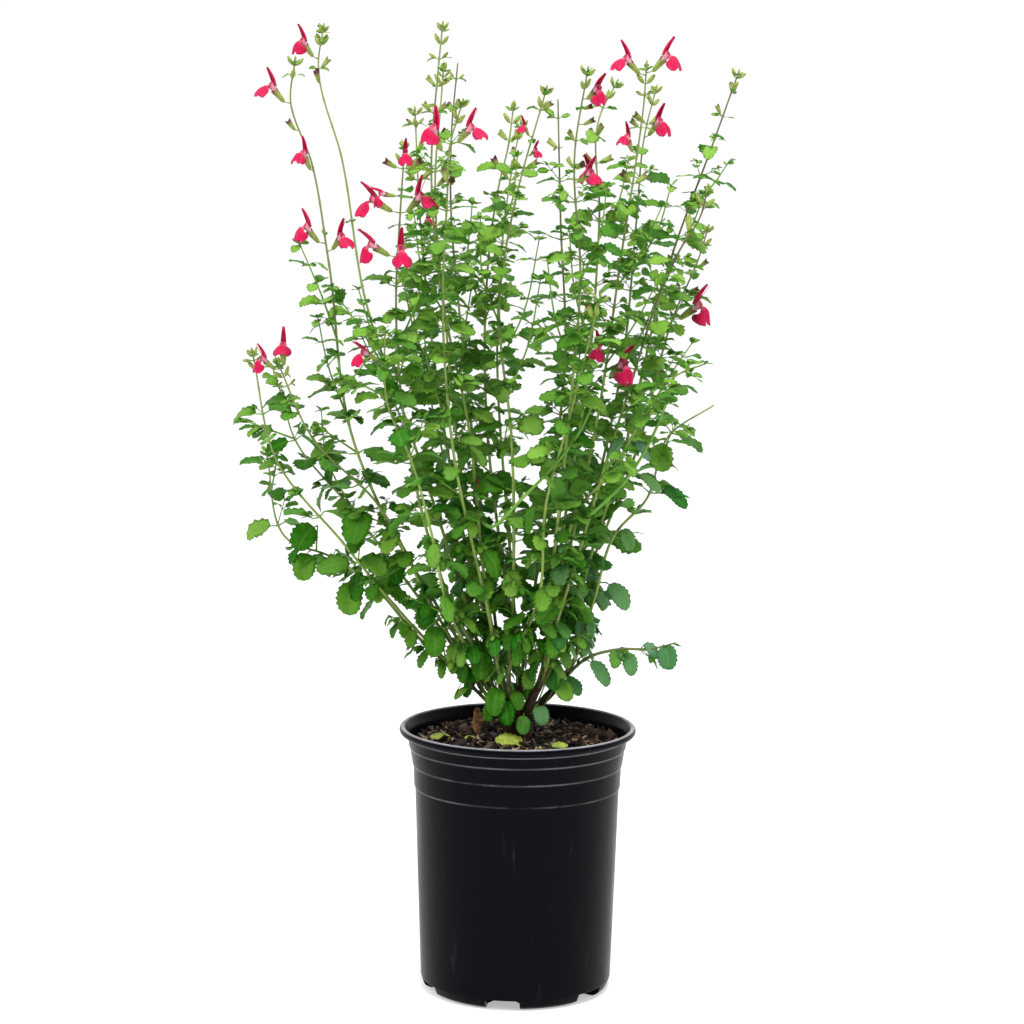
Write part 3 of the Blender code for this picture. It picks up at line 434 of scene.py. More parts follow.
class Path:
    """A smooth curve through points, with the distance along it and frames that don't twist."""

    STEPS = 12

    def __init__(self, points):
        points = np.array(points, float)
        spans = np.linalg.norm(np.diff(points, axis=0), axis=1)
        slopes = np.diff(points, axis=0) / spans[:, None]
        tangents = np.empty_like(points)
        tangents[0], tangents[-1] = slopes[0], slopes[-1]
        before, after = spans[:-1, None], spans[1:, None]
        tangents[1:-1] = (slopes[:-1] * after + slopes[1:] * before) / (before + after)
        t = (np.arange(1, self.STEPS + 1) / self.STEPS)[None, :, None]
        start, end = points[:-1, None], points[1:, None]
        pull, push = (tangents[:-1] * spans[:, None])[:, None], (tangents[1:] * spans[:, None])[:, None]
        curve = start * (2 * t**3 - 3 * t**2 + 1) + pull * (t**3 - 2 * t**2 + t)
        curve = curve + end * (3 * t**2 - 2 * t**3) + push * (t**3 - t**2)
        self.points = np.concatenate([points[:1], curve.reshape(-1, 3)])
        steps = np.linalg.norm(np.diff(self.points, axis=0), axis=1)
        self.along = np.concatenate([[0.0], np.cumsum(steps)])
        self.length = self.along[-1]
        self.tangents = unit(np.gradient(self.points, self.along, axis=0))
        side, sides = np.array([1.0, 0.0, 0.0]), []
        for tangent in self.tangents:
            side = unit(side - tangent * side.dot(tangent))
            sides.append(side)
        self.sides = np.array(sides)

    def at(self, s):
        """Point, tangent and the two side directions at one distance or many."""
        s = np.asarray(s, float)

        def between(values):
            return np.stack([np.interp(s, self.along, values[:, i]) for i in range(3)], axis=-1)

        tangent = unit(between(self.tangents))
        side = between(self.sides)
        side = unit(side - tangent * np.sum(side * tangent, axis=-1, keepdims=True))
        return between(self.points), tangent, side, np.cross(tangent, side)

    def forked(self, height, points):
        """The path of a side shoot that leaves this one at a height."""
        return Path([self.at(self.distance_at_height(height))[0], *points])

    def distance_at_height(self, z):
        """The distance along at which the curve is at the height z."""
        return self.along[int(np.argmin(np.abs(self.points[:, 2] - z)))]


class Surface:
    """Points and faces of one piece, gathered from many parts, all in mm."""

    def __init__(self):
        self.points, self.looks, self.faces, self.uvs, self.count = [], [], [], [], 0

    def add(self, points, faces, look=(0.5, 0.5, 0.5), uv=None):
        """Adds points of shape (..., 3) and lists of faces as numbers into them. A look is a
        triple per point or for all; uv is a pair per point, or per corner of each face list."""
        points = np.asarray(points, float).reshape(-1, 3)
        self.points.append(points)
        look = np.asarray(look, float)
        self.looks.append(np.broadcast_to(look.reshape(-1, 3), (len(points), 3)))
        for k, face in enumerate(faces):
            face = np.asarray(face, np.int64)
            if uv is None:
                corner = np.full((*face.shape, 2), 0.5)
            elif isinstance(uv, list):
                corner = uv[k]
            else:
                corner = np.asarray(uv, float).reshape(-1, 2)[face]
            self.faces.append(face + self.count)
            self.uvs.append(corner)
        self.count += len(points)

    def piece(self, name, material, slot, *nodes):
        """Makes the object, rides it on the plant's one body and stands it for its CAD nodes."""
        mesh = bpy.data.meshes.new(name)
        points = np.concatenate(self.points) * MM
        mesh.vertices.add(len(points))
        mesh.vertices.foreach_set("co", points.ravel())
        loops = np.concatenate([face.ravel() for face in self.faces])
        sizes = np.concatenate([np.full(len(face), face.shape[1]) for face in self.faces])
        mesh.loops.add(len(loops))
        mesh.loops.foreach_set("vertex_index", loops)
        mesh.polygons.add(len(sizes))
        mesh.polygons.foreach_set("loop_start", np.concatenate([[0], np.cumsum(sizes)[:-1]]))
        mesh.polygons.foreach_set("use_smooth", np.ones(len(sizes), bool))
        mesh.update(calc_edges=True)
        corners = np.concatenate([uv.reshape(-1, 2) for uv in self.uvs])
        mesh.uv_layers.new(name="along").data.foreach_set("uv", corners.ravel())
        look = mesh.attributes.new("look", "FLOAT_COLOR", "POINT")
        colours = np.ones((len(points), 4))
        colours[:, :3] = np.concatenate(self.looks)
        look.data.foreach_set("color", colours.ravel())
        mesh.validate()
        mesh.materials.append(material)
        made = bpy.data.objects.new(name, mesh)
        bpy.context.scene.collection.objects.link(made)
        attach(made, "root")
        if nodes:
            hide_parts(*nodes)
        return made


def many(faces, stride, count):
    """The same faces for count copies whose points lie stride apart."""
    shift = (np.arange(count) * stride)[:, None, None]
    return (np.asarray(faces)[None] + shift).reshape(-1, np.asarray(faces).shape[1])


def tube_faces(rows, around):
    """Sides and end fans of a tube whose two end middles follow its rings."""
    i = np.arange(around)
    j = (i + 1) % around
    ring = np.arange(rows - 1)[:, None] * around
    sides = np.stack([ring + i, ring + j, ring + around + j, ring + around + i], axis=-1)
    start, last = rows * around, (rows - 1) * around
    foot = np.stack([np.full(around, start), j, i], axis=-1)
    head = np.stack([np.full(around, start + 1), last + i, last + j], axis=-1)
    return sides.reshape(-1, 4), np.concatenate([foot, head])


def add_tubes(surface, centres, a, b, radii, around, look=(0.5, 0.5, 0.5), square=0.0):
    """Many tubes at once. A ring's point is the centre plus the radius times the cosine of
    its angle along a and the sine along b; square swells the four corners."""
    count, rows = centres.shape[:2]
    angle = np.arange(around) * 2 * math.pi / around
    swell = 1 + square * np.cos(4 * angle - math.pi)
    circle = np.cos(angle)[:, None] * a[:, :, None] + np.sin(angle)[:, None] * b[:, :, None]
    rings = centres[:, :, None] + radii[:, :, None, None] * swell[:, None] * circle
    points = np.concatenate([rings.reshape(count, -1, 3), centres[:, [0, -1]]], axis=1)
    sides, ends = tube_faces(rows, around)
    share = np.repeat(np.linspace(0, 1, rows), around)
    uv = np.stack([np.tile(angle / 2 / math.pi, rows), share], axis=-1)
    uv = np.tile(np.concatenate([uv, [[0.5, 0.0], [0.5, 1.0]]]), (count, 1))
    look = np.asarray(look, float)
    if look.ndim == 3:
        look = np.concatenate([np.repeat(look, around, axis=1), look[:, [0, -1]]], axis=1)
    elif look.ndim == 2:
        look = np.repeat(look[:, None], points.shape[1], axis=1)
    stride = points.shape[1]
    surface.add(points, [many(sides, stride, count), many(ends, stride, count)], look, uv)


def add_tube(surface, path, start, end, radii, around, look):
    """One tube along a path from one distance to another, with a ring for each radius."""
    centres, _, a, b = path.at(np.linspace(start, end, len(radii)))
    look = np.tile(np.asarray(look, float), (1, len(radii), 1))
    add_tubes(surface, centres[None], a[None], b[None], radii[None], around, look)


def sheet_faces(rows, cols):
    """Upper and lower faces of a thin sheet whose rim points are shared."""
    upper = np.arange(rows * cols).reshape(rows, cols)
    lower = upper.copy()
    lower[1:-1, 1:-1] = rows * cols + np.arange((rows - 2) * (cols - 2)).reshape(rows - 2, cols - 2)

    def cells(grid):
        return np.stack([grid[:-1, :-1], grid[:-1, 1:], grid[1:, 1:], grid[1:, :-1]], axis=-1)

    return cells(upper).reshape(-1, 4), cells(lower).reshape(-1, 4)[:, ::-1]


def add_sheets(surface, upper, normals, thickness, look):
    """Many thin closed sheets from grids of points and the directions they face. The
    underside's u runs from 2 to 3, so that a material can tell the two sides apart."""
    count, rows, cols = upper.shape[:3]
    inner = upper[:, 1:-1, 1:-1] - normals[:, 1:-1, 1:-1] * thickness
    points = np.concatenate([upper.reshape(count, -1, 3), inner.reshape(count, -1, 3)], axis=1)
    stride = points.shape[1]
    above, below = sheet_faces(rows, cols)
    u, v = np.meshgrid(np.linspace(0, 1, rows), np.linspace(0, 1, cols), indexing="ij")
    flat = np.stack([u, v], axis=-1)
    uv = np.concatenate([flat.reshape(-1, 2), flat[1:-1, 1:-1].reshape(-1, 2)])
    uvs = [np.tile(uv[above], (count, 1, 1)), np.tile(uv[below] + [2.0, 0.0], (count, 1, 1))]
    look = np.asarray(look, float)
    if look.ndim == 2:
        look = np.repeat(look[:, None], stride, axis=1)
    surface.add(points, [many(above, stride, count), many(below, stride, count)], look, uvs)


def cup_shape(rows, around, lobes):
    """A cup in its own frame, x ahead, y right and z up: each row is how far ahead, the
    radius and how much of the lobes it takes. The last rows turn back inside it."""
    angle = np.arange(around) * 2 * math.pi / around
    rim = lobes(angle)
    ahead = np.array([row[0] for row in rows])[:, None] + np.outer([row[2] for row in rows], rim)
    radius = np.array([row[1] for row in rows])[:, None] * (1 + 0.05 * np.cos(angle * around / 2))
    points = np.stack([ahead, radius * np.cos(angle), radius * np.sin(angle)], axis=-1)
    poles = [[rows[0][0], 0, 0], [rows[-1][0], 0, 0]]
    sides, ends = tube_faces(len(rows), around)
    return np.concatenate([points.reshape(-1, 3), poles]), [sides[:, ::-1], ends[:, ::-1]]


def placed(shape, base, axes, size):
    """Copies of a shape, each turned into its own axes and scaled."""
    turned = np.einsum("pk,nkc->npc", shape, axes)
    return base[:, None] + turned * size[:, None, None]


def axes_of(ahead):
    """Right-handed axes for directions: ahead, right and as upright as may be."""
    right = unit(np.cross(ahead, UP) + 1e-6)
    return np.stack([ahead, right, np.cross(right, ahead)], axis=1)


# Materials


class Shading:
    """A node tree, with a short name for each node it needs. A value is a socket or a number,
    and a colour is a socket or a triple."""

    def __init__(self, tree):
        self.tree = tree

    def node(self, kind, inputs=None, **settings):
        """A new node with its settings, its values and its links."""
        made = self.tree.nodes.new(kind)
        for key, value in settings.items():
            setattr(made, key, value)
        for key, value in (inputs or {}).items():
            self.fill(made.inputs[key], value)
        return made

    def fill(self, socket, value):
        """Links a socket to another one, or gives it its value."""
        if isinstance(value, bpy.types.NodeSocket):
            self.tree.links.new(value, socket)
        else:
            socket.default_value = value

    def maths(self, operation, first, second=0.0, third=0.0):
        """One sum."""
        inputs = {0: first, 1: second, 2: third}
        return self.node("ShaderNodeMath", inputs, operation=operation).outputs[0]

    def times(self, first, second):
        """A product."""
        return self.maths("MULTIPLY", first, second)

    def plus(self, value, factor, rest):
        """A value times its factor, plus the rest."""
        return self.maths("MULTIPLY_ADD", value, factor, rest)

    def apart(self, first, second):
        """How far two values lie apart."""
        return self.maths("ABSOLUTE", self.maths("SUBTRACT", first, second))

    def ranged(self, value, low, high, to_low=0.0, to_high=1.0):
        """A value moved from one range to another, and kept inside it."""
        inputs = {"Value": value, "From Min": low, "From Max": high, "To Min": to_low, "To Max": to_high}
        return self.node("ShaderNodeMapRange", inputs).outputs[0]

    def mixed(self, factor, first, second):
        """Two colours mixed."""
        first, second = (c if isinstance(c, bpy.types.NodeSocket) else (*c, 1.0) for c in (first, second))
        inputs = {0: factor, 6: first, 7: second}
        return self.node("ShaderNodeMix", inputs, data_type="RGBA", blend_type="MIX").outputs[2]

    def split(self, vector):
        """The three numbers of a vector."""
        return self.node("ShaderNodeSeparateXYZ", {0: vector}).outputs

    def coordinates(self, kind="Object"):
        """The place on the piece itself, in metres."""
        return self.node("ShaderNodeTexCoord").outputs[kind]

    def noise(self, scale, detail=3.0, roughness=0.55, stretch=1.0):
        """Noise on the piece's own object coordinates, in features per metre, drawn out in
        height by a share under 1."""
        vector = self.coordinates()
        if stretch < 1.0:
            inputs = {"Vector": vector, "Scale": (1.0, 1.0, stretch)}
            vector = self.node("ShaderNodeMapping", inputs).outputs[0]
        inputs = {"Vector": vector, "Scale": scale, "Detail": detail, "Roughness": roughness}
        return self.node("ShaderNodeTexNoise", inputs).outputs["Fac"]


class Look(Shading):
    """A new material with its Principled shader."""

    def __init__(self, name, roughness, specular):
        self.material = bpy.data.materials.new(name)
        self.material.use_nodes = True
        super().__init__(self.material.node_tree)
        self.shader = self.tree.nodes["Principled BSDF"]
        self.set("Roughness", roughness)
        self.set("Specular IOR Level", specular)

    def set(self, name, value):
        """Sets or links one input of the shader."""
        self.fill(self.shader.inputs[name], value)

    def carried(self):
        """The three numbers that each point carries."""
        colour = self.node("ShaderNodeAttribute", attribute_name="look").outputs["Color"]
        return self.node("ShaderNodeSeparateColor", {"Color": colour}).outputs[:3]

    def unrolled(self):
        """The piece's own pair of coordinates along its parts, and nothing."""
        return self.split(self.node("ShaderNodeUVMap", uv_map="along").outputs["UV"])

    def finish(self, colour, height, strength, distance, through=0.0, glow=None):
        """Links the colour and the bump, lets a share of light through a leaf or petal, and
        hands over the material."""
        self.set("Base Color", colour)
        inputs = {"Height": height, "Strength": strength, "Distance": distance}
        self.set("Normal", self.node("ShaderNodeBump", inputs).outputs["Normal"])
        if through:
            thin = self.node("ShaderNodeBsdfTranslucent", {"Color": glow or colour}).outputs["BSDF"]
            inputs = {0: through, 1: self.shader.outputs["BSDF"], 2: thin}
            both = self.node("ShaderNodeMixShader", inputs).outputs[0]
            self.fill(self.tree.nodes["Material Output"].inputs["Surface"], both)
        return self.material


def leaf_material(name, settings):
    """A salvia leaf: light midrib and side veins, puckered between them, paler below. The look
    holds the tone from old and dark to young and light, how much painted bluish green sheen it has, and a
    chance."""
    look = Look(name, 0.42, 0.15)
    tone, painted_sheen, chance = look.carried()
    along, across, _ = look.unrolled()
    under = look.maths("GREATER_THAN", along, 1.5)
    along = look.maths("SUBTRACT", along, look.times(under, 2.0))
    side = look.maths("ABSOLUTE", look.plus(across, 2.0, -1.0))
    midrib = look.ranged(side, 0.04, 0.14, 1.0, 0.0)
    slanted = look.plus(side, -1.9, look.times(along, 6.5))
    side_vein = look.ranged(look.apart(look.maths("FRACT", slanted), 0.5), 0.0, 0.12, 1.0, 0.0)
    veins = look.maths("MAXIMUM", midrib, look.times(side_vein, 0.55))
    shade = look.plus(look.maths("SUBTRACT", look.noise(350.0), 0.5), 0.45, tone)
    shade = look.plus(look.maths("SUBTRACT", chance, 0.5), 0.85, shade)
    upper = look.mixed(look.ranged(shade, 0.0, 1.0), settings.leaf_dark, settings.leaf_light)
    # Painted sheen: mixes in the pale bluish green that the look's second number asks for.
    upper = look.mixed(painted_sheen, upper, settings.leaf_painted_sheen)
    upper = look.mixed(look.times(veins, 0.25), upper, settings.leaf_vein)
    lower = look.mixed(look.times(veins, 0.5), settings.leaf_under, settings.leaf_vein)
    colour = look.mixed(under, upper, lower)
    height = look.plus(veins, -0.8, look.times(look.noise(1100.0, 2.0), 0.7))
    return look.finish(colour, height, 0.6, 0.0006, 0.3, look.mixed(0.6, colour, settings.leaf_glow))


def stem_material(name, settings):
    """A square green stem. The look holds the height share, how purple-brown it is, and a chance."""
    look = Look(name, 0.5, 0.25)
    share, purple, _ = look.carried()
    streak = look.noise(420.0, stretch=0.08)
    green = look.mixed(streak, settings.stem_green, settings.stem_light)
    brown = look.times(look.ranged(share, 0.02, 0.2, 1.0, 0.0), look.ranged(streak, 0.3, 0.6, 0.55, 1.0))
    ripe = look.times(purple, look.ranged(streak, 0.35, 0.65, 0.75, 1.0))
    colour = look.mixed(brown, look.mixed(ripe, green, settings.stem_purple), settings.stem_brown)
    return look.finish(colour, streak, 0.25, 0.0003)


def calyx_material(name, settings):
    """A ribbed calyx. The look holds the share from foot to tip, how maroon it is, and a chance."""
    look = Look(name, 0.5, 0.35)
    share, maroon, _ = look.carried()
    rib = look.maths("SINE", look.times(look.unrolled()[0], 62.8))
    green = look.mixed(look.ranged(rib, -1.0, 1.0), settings.calyx_green, settings.calyx_rib)
    edge = look.times(look.ranged(share, 0.45, 1.0), maroon)
    edge = look.times(edge, look.ranged(look.noise(420.0, 2.0), 0.35, 0.6, 0.75, 1.1))
    colour = look.mixed(look.ranged(edge, 0.0, 0.9), green, settings.calyx_maroon)
    return look.finish(colour, rib, 0.5, 0.0003, 0.2)


def petal_material(name, settings):
    """A velvety petal. The look holds how far along the flower it is, how deep its colour, and
    a chance."""
    look = Look(name, 0.55, 0.2)
    look.set("Sheen Weight", 0.1)
    share, deep, _ = look.carried()
    patches = look.noise(380.0, 2.0)
    colour = look.mixed(look.ranged(share, 0.15, 0.5), settings.petal_pale, settings.petal_crimson)
    darker = look.times(deep, look.ranged(patches, 0.38, 0.62, 0.2, 1.3))
    colour = look.mixed(darker, colour, settings.petal_deep)
    rose = look.times(look.ranged(share, 0.8, 1.0), look.ranged(patches, 0.45, 0.6))
    colour = look.mixed(look.times(rose, 0.5), colour, settings.petal_rose)
    return look.finish(colour, patches, 0.35, 0.0004, 0.22)


def plastic_material(name, settings):
    """Black moulded plastic with fine scuffs and a little dust, painted highlight lines where the wall
    steps out, and a painted highlight band on top of the rim and a painted highlight line under it."""
    look = Look(name, settings.roughness, settings.gloss)
    scuffs = look.noise(160.0, 6.0, 0.7, 0.12)
    dust = look.noise(38.0, 5.0)
    grey = look.times(look.ranged(scuffs, 0.58, 0.75), look.ranged(dust, 0.45, 0.7))
    colour = look.mixed(look.times(grey, 0.35), settings.colour, settings.dust)
    x, y, height = look.split(look.coordinates())
    # Painted highlight: light lines along the wall's steps, broken up by the dust noise.
    painted_ledge_highlight = 0.0
    for ledge in PLASTIC_LEDGES:
        line = look.ranged(look.apart(height, ledge * MM), 0.0003, 0.0009, 1.0, 0.0)
        painted_ledge_highlight = look.times(look.maths("MAXIMUM", painted_ledge_highlight, line), look.ranged(dust, 0.35, 0.6, 0.35, 1.0))
    colour = look.mixed(painted_ledge_highlight, colour, settings.painted_ledge_highlight)
    # Painted highlight: a light band on top of the rim and a light line where its underside meets the wall.
    across = look.maths("SQRT", look.plus(x, x, look.times(y, y)))
    outside = look.ranged(across, RIM_FOOT_RADIUS - 0.0002, RIM_FOOT_RADIUS + 0.0002)
    under = look.ranged(look.apart(height, RIM_FOOT_HEIGHT), 0.0002, 0.0006, 0.35, 0.0)
    rim = look.ranged(height, *RIM_HIGHLIGHT_BAND, 0.0, 0.8)
    rim = look.maths("MAXIMUM", rim, look.times(under, outside))
    rim = look.times(rim, look.ranged(dust, 0.3, 0.6, 0.45, 1.0))
    colour = look.mixed(rim, colour, settings.rim)
    look.set("Roughness", look.plus(look.ranged(scuffs, 0.35, 0.75), 0.14, settings.roughness))
    return look.finish(colour, look.plus(look.noise(1400.0, 2.0), 0.25, scuffs), 0.1, 0.0004)


def soil_material(name, settings):
    """Damp bark mix: dark brown with lighter crumbs."""
    look = Look(name, 0.9, 0.2)
    crumbs = look.noise(420.0, 6.0, 0.7)
    colour = look.mixed(look.ranged(crumbs, 0.42, 0.7), settings.dark, settings.brown)
    return look.finish(colour, crumbs, 1.0, 0.003)


def chip_material(name, settings):
    """Bark and wood chips. The look holds how light, how red and a chance."""
    look = Look(name, 0.8, 0.25)
    light, red, _ = look.carried()
    grain = look.noise(900.0, 5.0, 0.7)
    colour = look.mixed(light, settings.dark, settings.tan)
    colour = look.mixed(look.times(red, 0.8), colour, settings.red)
    colour = look.mixed(look.ranged(grain, 0.35, 0.65, 0.6, 0.0), colour, settings.dark)
    return look.finish(colour, grain, 0.8, 0.001)


def wood_material(name, settings):
    """Thin flaking bark with lengthwise cracks."""
    look = Look(name, 0.85, 0.25)
    flakes = look.noise(650.0, 6.0, 0.7, 0.25)
    colour = look.mixed(look.ranged(flakes, 0.35, 0.65), settings.bark_dark, settings.bark_light)
    return look.finish(colour, flakes, 0.9, 0.0012)


def fallen_material(name, settings):
    """A yellowing leaf with greener patches and brown blots."""
    look = Look(name, 0.5, 0.35)
    blots = look.noise(260.0, 4.0)
    colour = look.mixed(look.ranged(blots, 0.4, 0.6), settings.fallen_green, settings.fallen_yellow)
    colour = look.mixed(look.ranged(blots, 0.62, 0.72), colour, settings.bark_light)
    return look.finish(colour, look.noise(900.0), 0.5, 0.0006, 0.2)


def dry_material(name, settings):
    """A dry brown leaf with darker blots."""
    look = Look(name, 0.7, 0.2)
    blots = look.noise(300.0, 4.0)
    colour = look.mixed(look.ranged(blots, 0.4, 0.65), settings.fallen_brown, settings.bark_light)
    return look.finish(colour, blots, 0.6, 0.0008)


# Leaves


def leaf_pairs(index, name, path):
    """The pairs of a shoot: number, distance along, turn and leaf length."""
    bare = SHOOTS[name][1]
    pairs = []
    s, number = FIRST_PAIR + spread(0, 10, index, 1, 1), 0
    while s < path.length - 4:
        height = path.at(s)[0][2]
        share = share_of(height, LOW_HEIGHT, HIGH_HEIGHT)
        length = LOW_LEAF + (HIGH_LEAF - LOW_LEAF) * share
        if s > path.length - bare:
            length = BRACT
        length *= spread(0.8, 1.15, index, number, 2)
        pairs.append((number, s, math.radians(spread(-18, 18, index, number, 3)), length))
        s += PAIR_SPACING * spread(0.85, 1.15, index, number, 4)
        number += 1
    return pairs


TEETH = {SMALL_GRID[0]: 0.05, LARGE_GRID[0]: 0.13, LOW_GRID[0]: 0.085, FALLEN_GRID[0]: 0.085}


def add_blades(surface, leaf, rows, cols):
    """Many leaf blades at once. A midrib bends evenly from its first to its last angle; the
    half width grows as the 0.5 power from the foot and shrinks as the 0.55 power to the tip,
    with a tooth at every other row; the halves fold up and the edges curl down and ripple."""
    u = np.linspace(0, 1, rows)
    v = np.linspace(-1, 1, cols)
    length = leaf["length"][:, None]
    angle = leaf["start"][:, None] + (leaf["end"] - leaf["start"])[:, None] * u
    middle = (angle[:, 1:] + angle[:, :-1]) / 2
    step = length / (rows - 1)
    zero = np.zeros((len(length), 1))
    reach = np.concatenate([zero, np.cumsum(np.cos(middle) * step, axis=1)], axis=1)[..., None]
    rise = np.concatenate([zero, np.cumsum(np.sin(middle) * step, axis=1)], axis=1)[..., None]
    level = leaf["level"][:, None]
    right = np.cross(level, UP)
    ahead = level * np.cos(angle)[..., None] + UP * np.sin(angle)[..., None]
    normal = np.cross(right, ahead)
    roll = leaf["roll"][:, None, None]
    cos, sin = np.cos(roll), np.sin(roll)
    right, normal = right * cos + normal * sin, normal * cos - right * sin
    outline = u**0.5 * (1 - u) ** 0.55
    outline = outline / outline.max()
    tooth = TEETH[rows]
    teeth = 1 + tooth * np.where(np.arange(rows) % 2, 1.0, -1.0)
    outline = outline * teeth + 0.03
    half = leaf["width"][:, None] / 2 * outline
    bend = np.abs(v) * leaf["fold"][:, None, None] - 0.22 * v**2
    ripple = 0.1 * np.abs(v) * np.sin(2 * math.pi * 1.6 * u[None, :, None] + leaf["wave"][:, None, None])
    lift = (bend + ripple) * half[:, :, None]
    spine = leaf["base"][:, None] + level * reach + UP * rise
    points = spine[:, :, None] + right[:, :, None] * (v * half[:, :, None])[..., None]
    points = points + normal[:, :, None] * lift[..., None]
    normals = np.broadcast_to(normal[:, :, None], points.shape)
    add_sheets(surface, points, normals, LEAF_THICKNESS, leaf["look"])


def add_stalks(surface, start, end, radius, look, around=4):
    """Thin straight stalks from start to end, a little thicker at the foot."""
    ahead = unit(end - start)
    right = unit(np.cross(ahead, UP) + 1e-6)
    over = np.cross(ahead, right)
    centres = np.stack([start, (start + end) / 2, end], axis=1)
    a, b = (np.repeat(way[:, None], 3, axis=1) for way in (right, over))
    radii = radius[:, None] * STALK_TAPER
    add_tubes(surface, centres, a, b, radii, around, look)


def gathered(rows):
    """A list of leaves as one table of arrays."""
    return {key: np.array([row[key] for row in rows], float) for key in rows[0]}


def leaf_row(root, out, tangent, length, keys, tone, stalk_share=0.22, lift=0.0):
    """One leaf: where its stalk starts and ends, and how its blade lies. High leaves arch like
    a gull's wing; low ones are broader and hang. The last key of each draw tells it from the
    leaf's other draws."""
    flat = np.array([1.0, 1.0, 0.0])
    aside = np.cross(out, UP) * spread(-LEAF_ASIDE, LEAF_ASIDE, *keys, 19)
    level = unit(out * flat + LEAF_AHEAD * tangent * flat + aside)
    low = share_of(length, HIGH_LEAF, LOW_LEAF)
    hang = share_of(root[2], *HANGING_HEIGHTS)
    if hashed(*keys, 17) < DROOPING_SHARE and root[2] < DROOPING_TOP:
        hang = 1.0
    rise = math.radians(spread(*STALK_RISE, *keys, 5))
    stalk = unit(out + 0.3 * level + math.tan(rise) * tangent)
    right_hand = share_of(root[0], *PAINTED_SHEEN_SIDE) * hang
    outward = unit(root * flat / 120 + TO_FRONT)
    lean = LEAF_LEAN * float(np.cross(level, UP).dot(outward))
    # Painted sheen: a pale bluish green on the hanging leaves of the right-hand side, and a trace on the
    # rest.
    painted_sheen = max(0.0, spread(-0.4, 1.0, *keys, 13)) * (0.06 + 0.94 * right_hand)
    if hashed(*keys, 18) < YOUNG_SHARE:
        tone += max(YOUNG_TONE - tone, 0.0)

    def midrib(plain, drop, vary, key):
        return math.radians(plain - drop * hang + spread(-vary, vary, *keys, key))

    return {
        "root": root - out * 0.4,
        "base": root + stalk * stalk_share * length,
        "level": level,
        "length": length,
        "width": length * (LEAF_WIDTH + LOW_LEAF_WIDTH * low) * spread(*WIDTH_SPREAD, *keys, 7),
        "start": midrib(*MIDRIB_START, 6) + lift,
        "end": midrib(*MIDRIB_END, 16) + 1.5 * lift,
        "roll": math.radians(spread(-LEAF_ROLL, LEAF_ROLL, *keys, 8)) + lean,
        "fold": spread(0.15, 0.55, *keys, 9),
        "wave": spread(0, 6.28, *keys, 10),
        "look": (tone, painted_sheen, hashed(*keys, 11)),
    }


def add_leaves(surface, rows_of_leaves, rows, cols):
    """Blades with their stalks."""
    if not rows_of_leaves:
        return
    leaf = gathered(rows_of_leaves)
    add_blades(surface, leaf, rows, cols)
    radius = 0.24 + 0.012 * leaf["length"]
    look = leaf["look"].copy()
    look[:, 0] = 1.0
    add_stalks(surface, leaf["root"], leaf["base"], radius, look)


def side_shoot(main, small, sticks, root, out, tangent, reach, size, keys, tone):
    """A short shoot in a leaf's axil: a thin stalk with one to four pairs of small leaves."""
    ahead = unit(out * spread(0.7, 1.2, *keys, 21) + tangent)
    end = root + ahead * reach
    sticks.append((root - out * 0.4, end))
    side = unit(np.cross(ahead, UP) + 1e-6)
    over = np.cross(ahead, side)
    pairs = 1 + sum(reach > more for more in AXIL_PAIR_REACH)
    for pair in range(pairs):
        place = root + ahead * reach * (1.0 - 0.75 * pair / max(pairs, 2))
        turn = spread(0, 3.14, *keys, 30 + pair)
        across = side * math.cos(turn) + over * math.sin(turn)
        length = size * (0.85 + 0.25 * pair)
        for sign in (1, -1):
            outward = unit(across * sign + ahead * 0.55)
            leaf_keys = (keys[0], keys[1] * 7 + pair * 2 + sign + 300)
            row = leaf_row(place, outward, ahead, length, leaf_keys, tone)
            (main if length > LARGE_LEAF else small).append(row)
    for k in (0, 1):
        tip = (keys[0], keys[1] * 3 + 700 + k)
        way = unit(ahead + side * (0.5 - k))
        small.append(leaf_row(end, way, ahead, size * 0.55, tip, tone + 0.2, 0.05, 0.7))


def tip_leaves(path, back, index, key, length, ahead, drop, stalk):
    """The four small leaves at the tip of a shoot, every other one a little lower."""
    point, tangent, a, b = path.at(path.length - back)
    rows = []
    for k in range(4):
        way = unit(around(k * math.pi / 2 + index, a, b) + tangent * ahead)
        place = point - tangent * (drop if k % 2 else 0.0)
        rows.append(leaf_row(place, way, tangent, length, (index, key + k), 0.95, *stalk))
    return rows


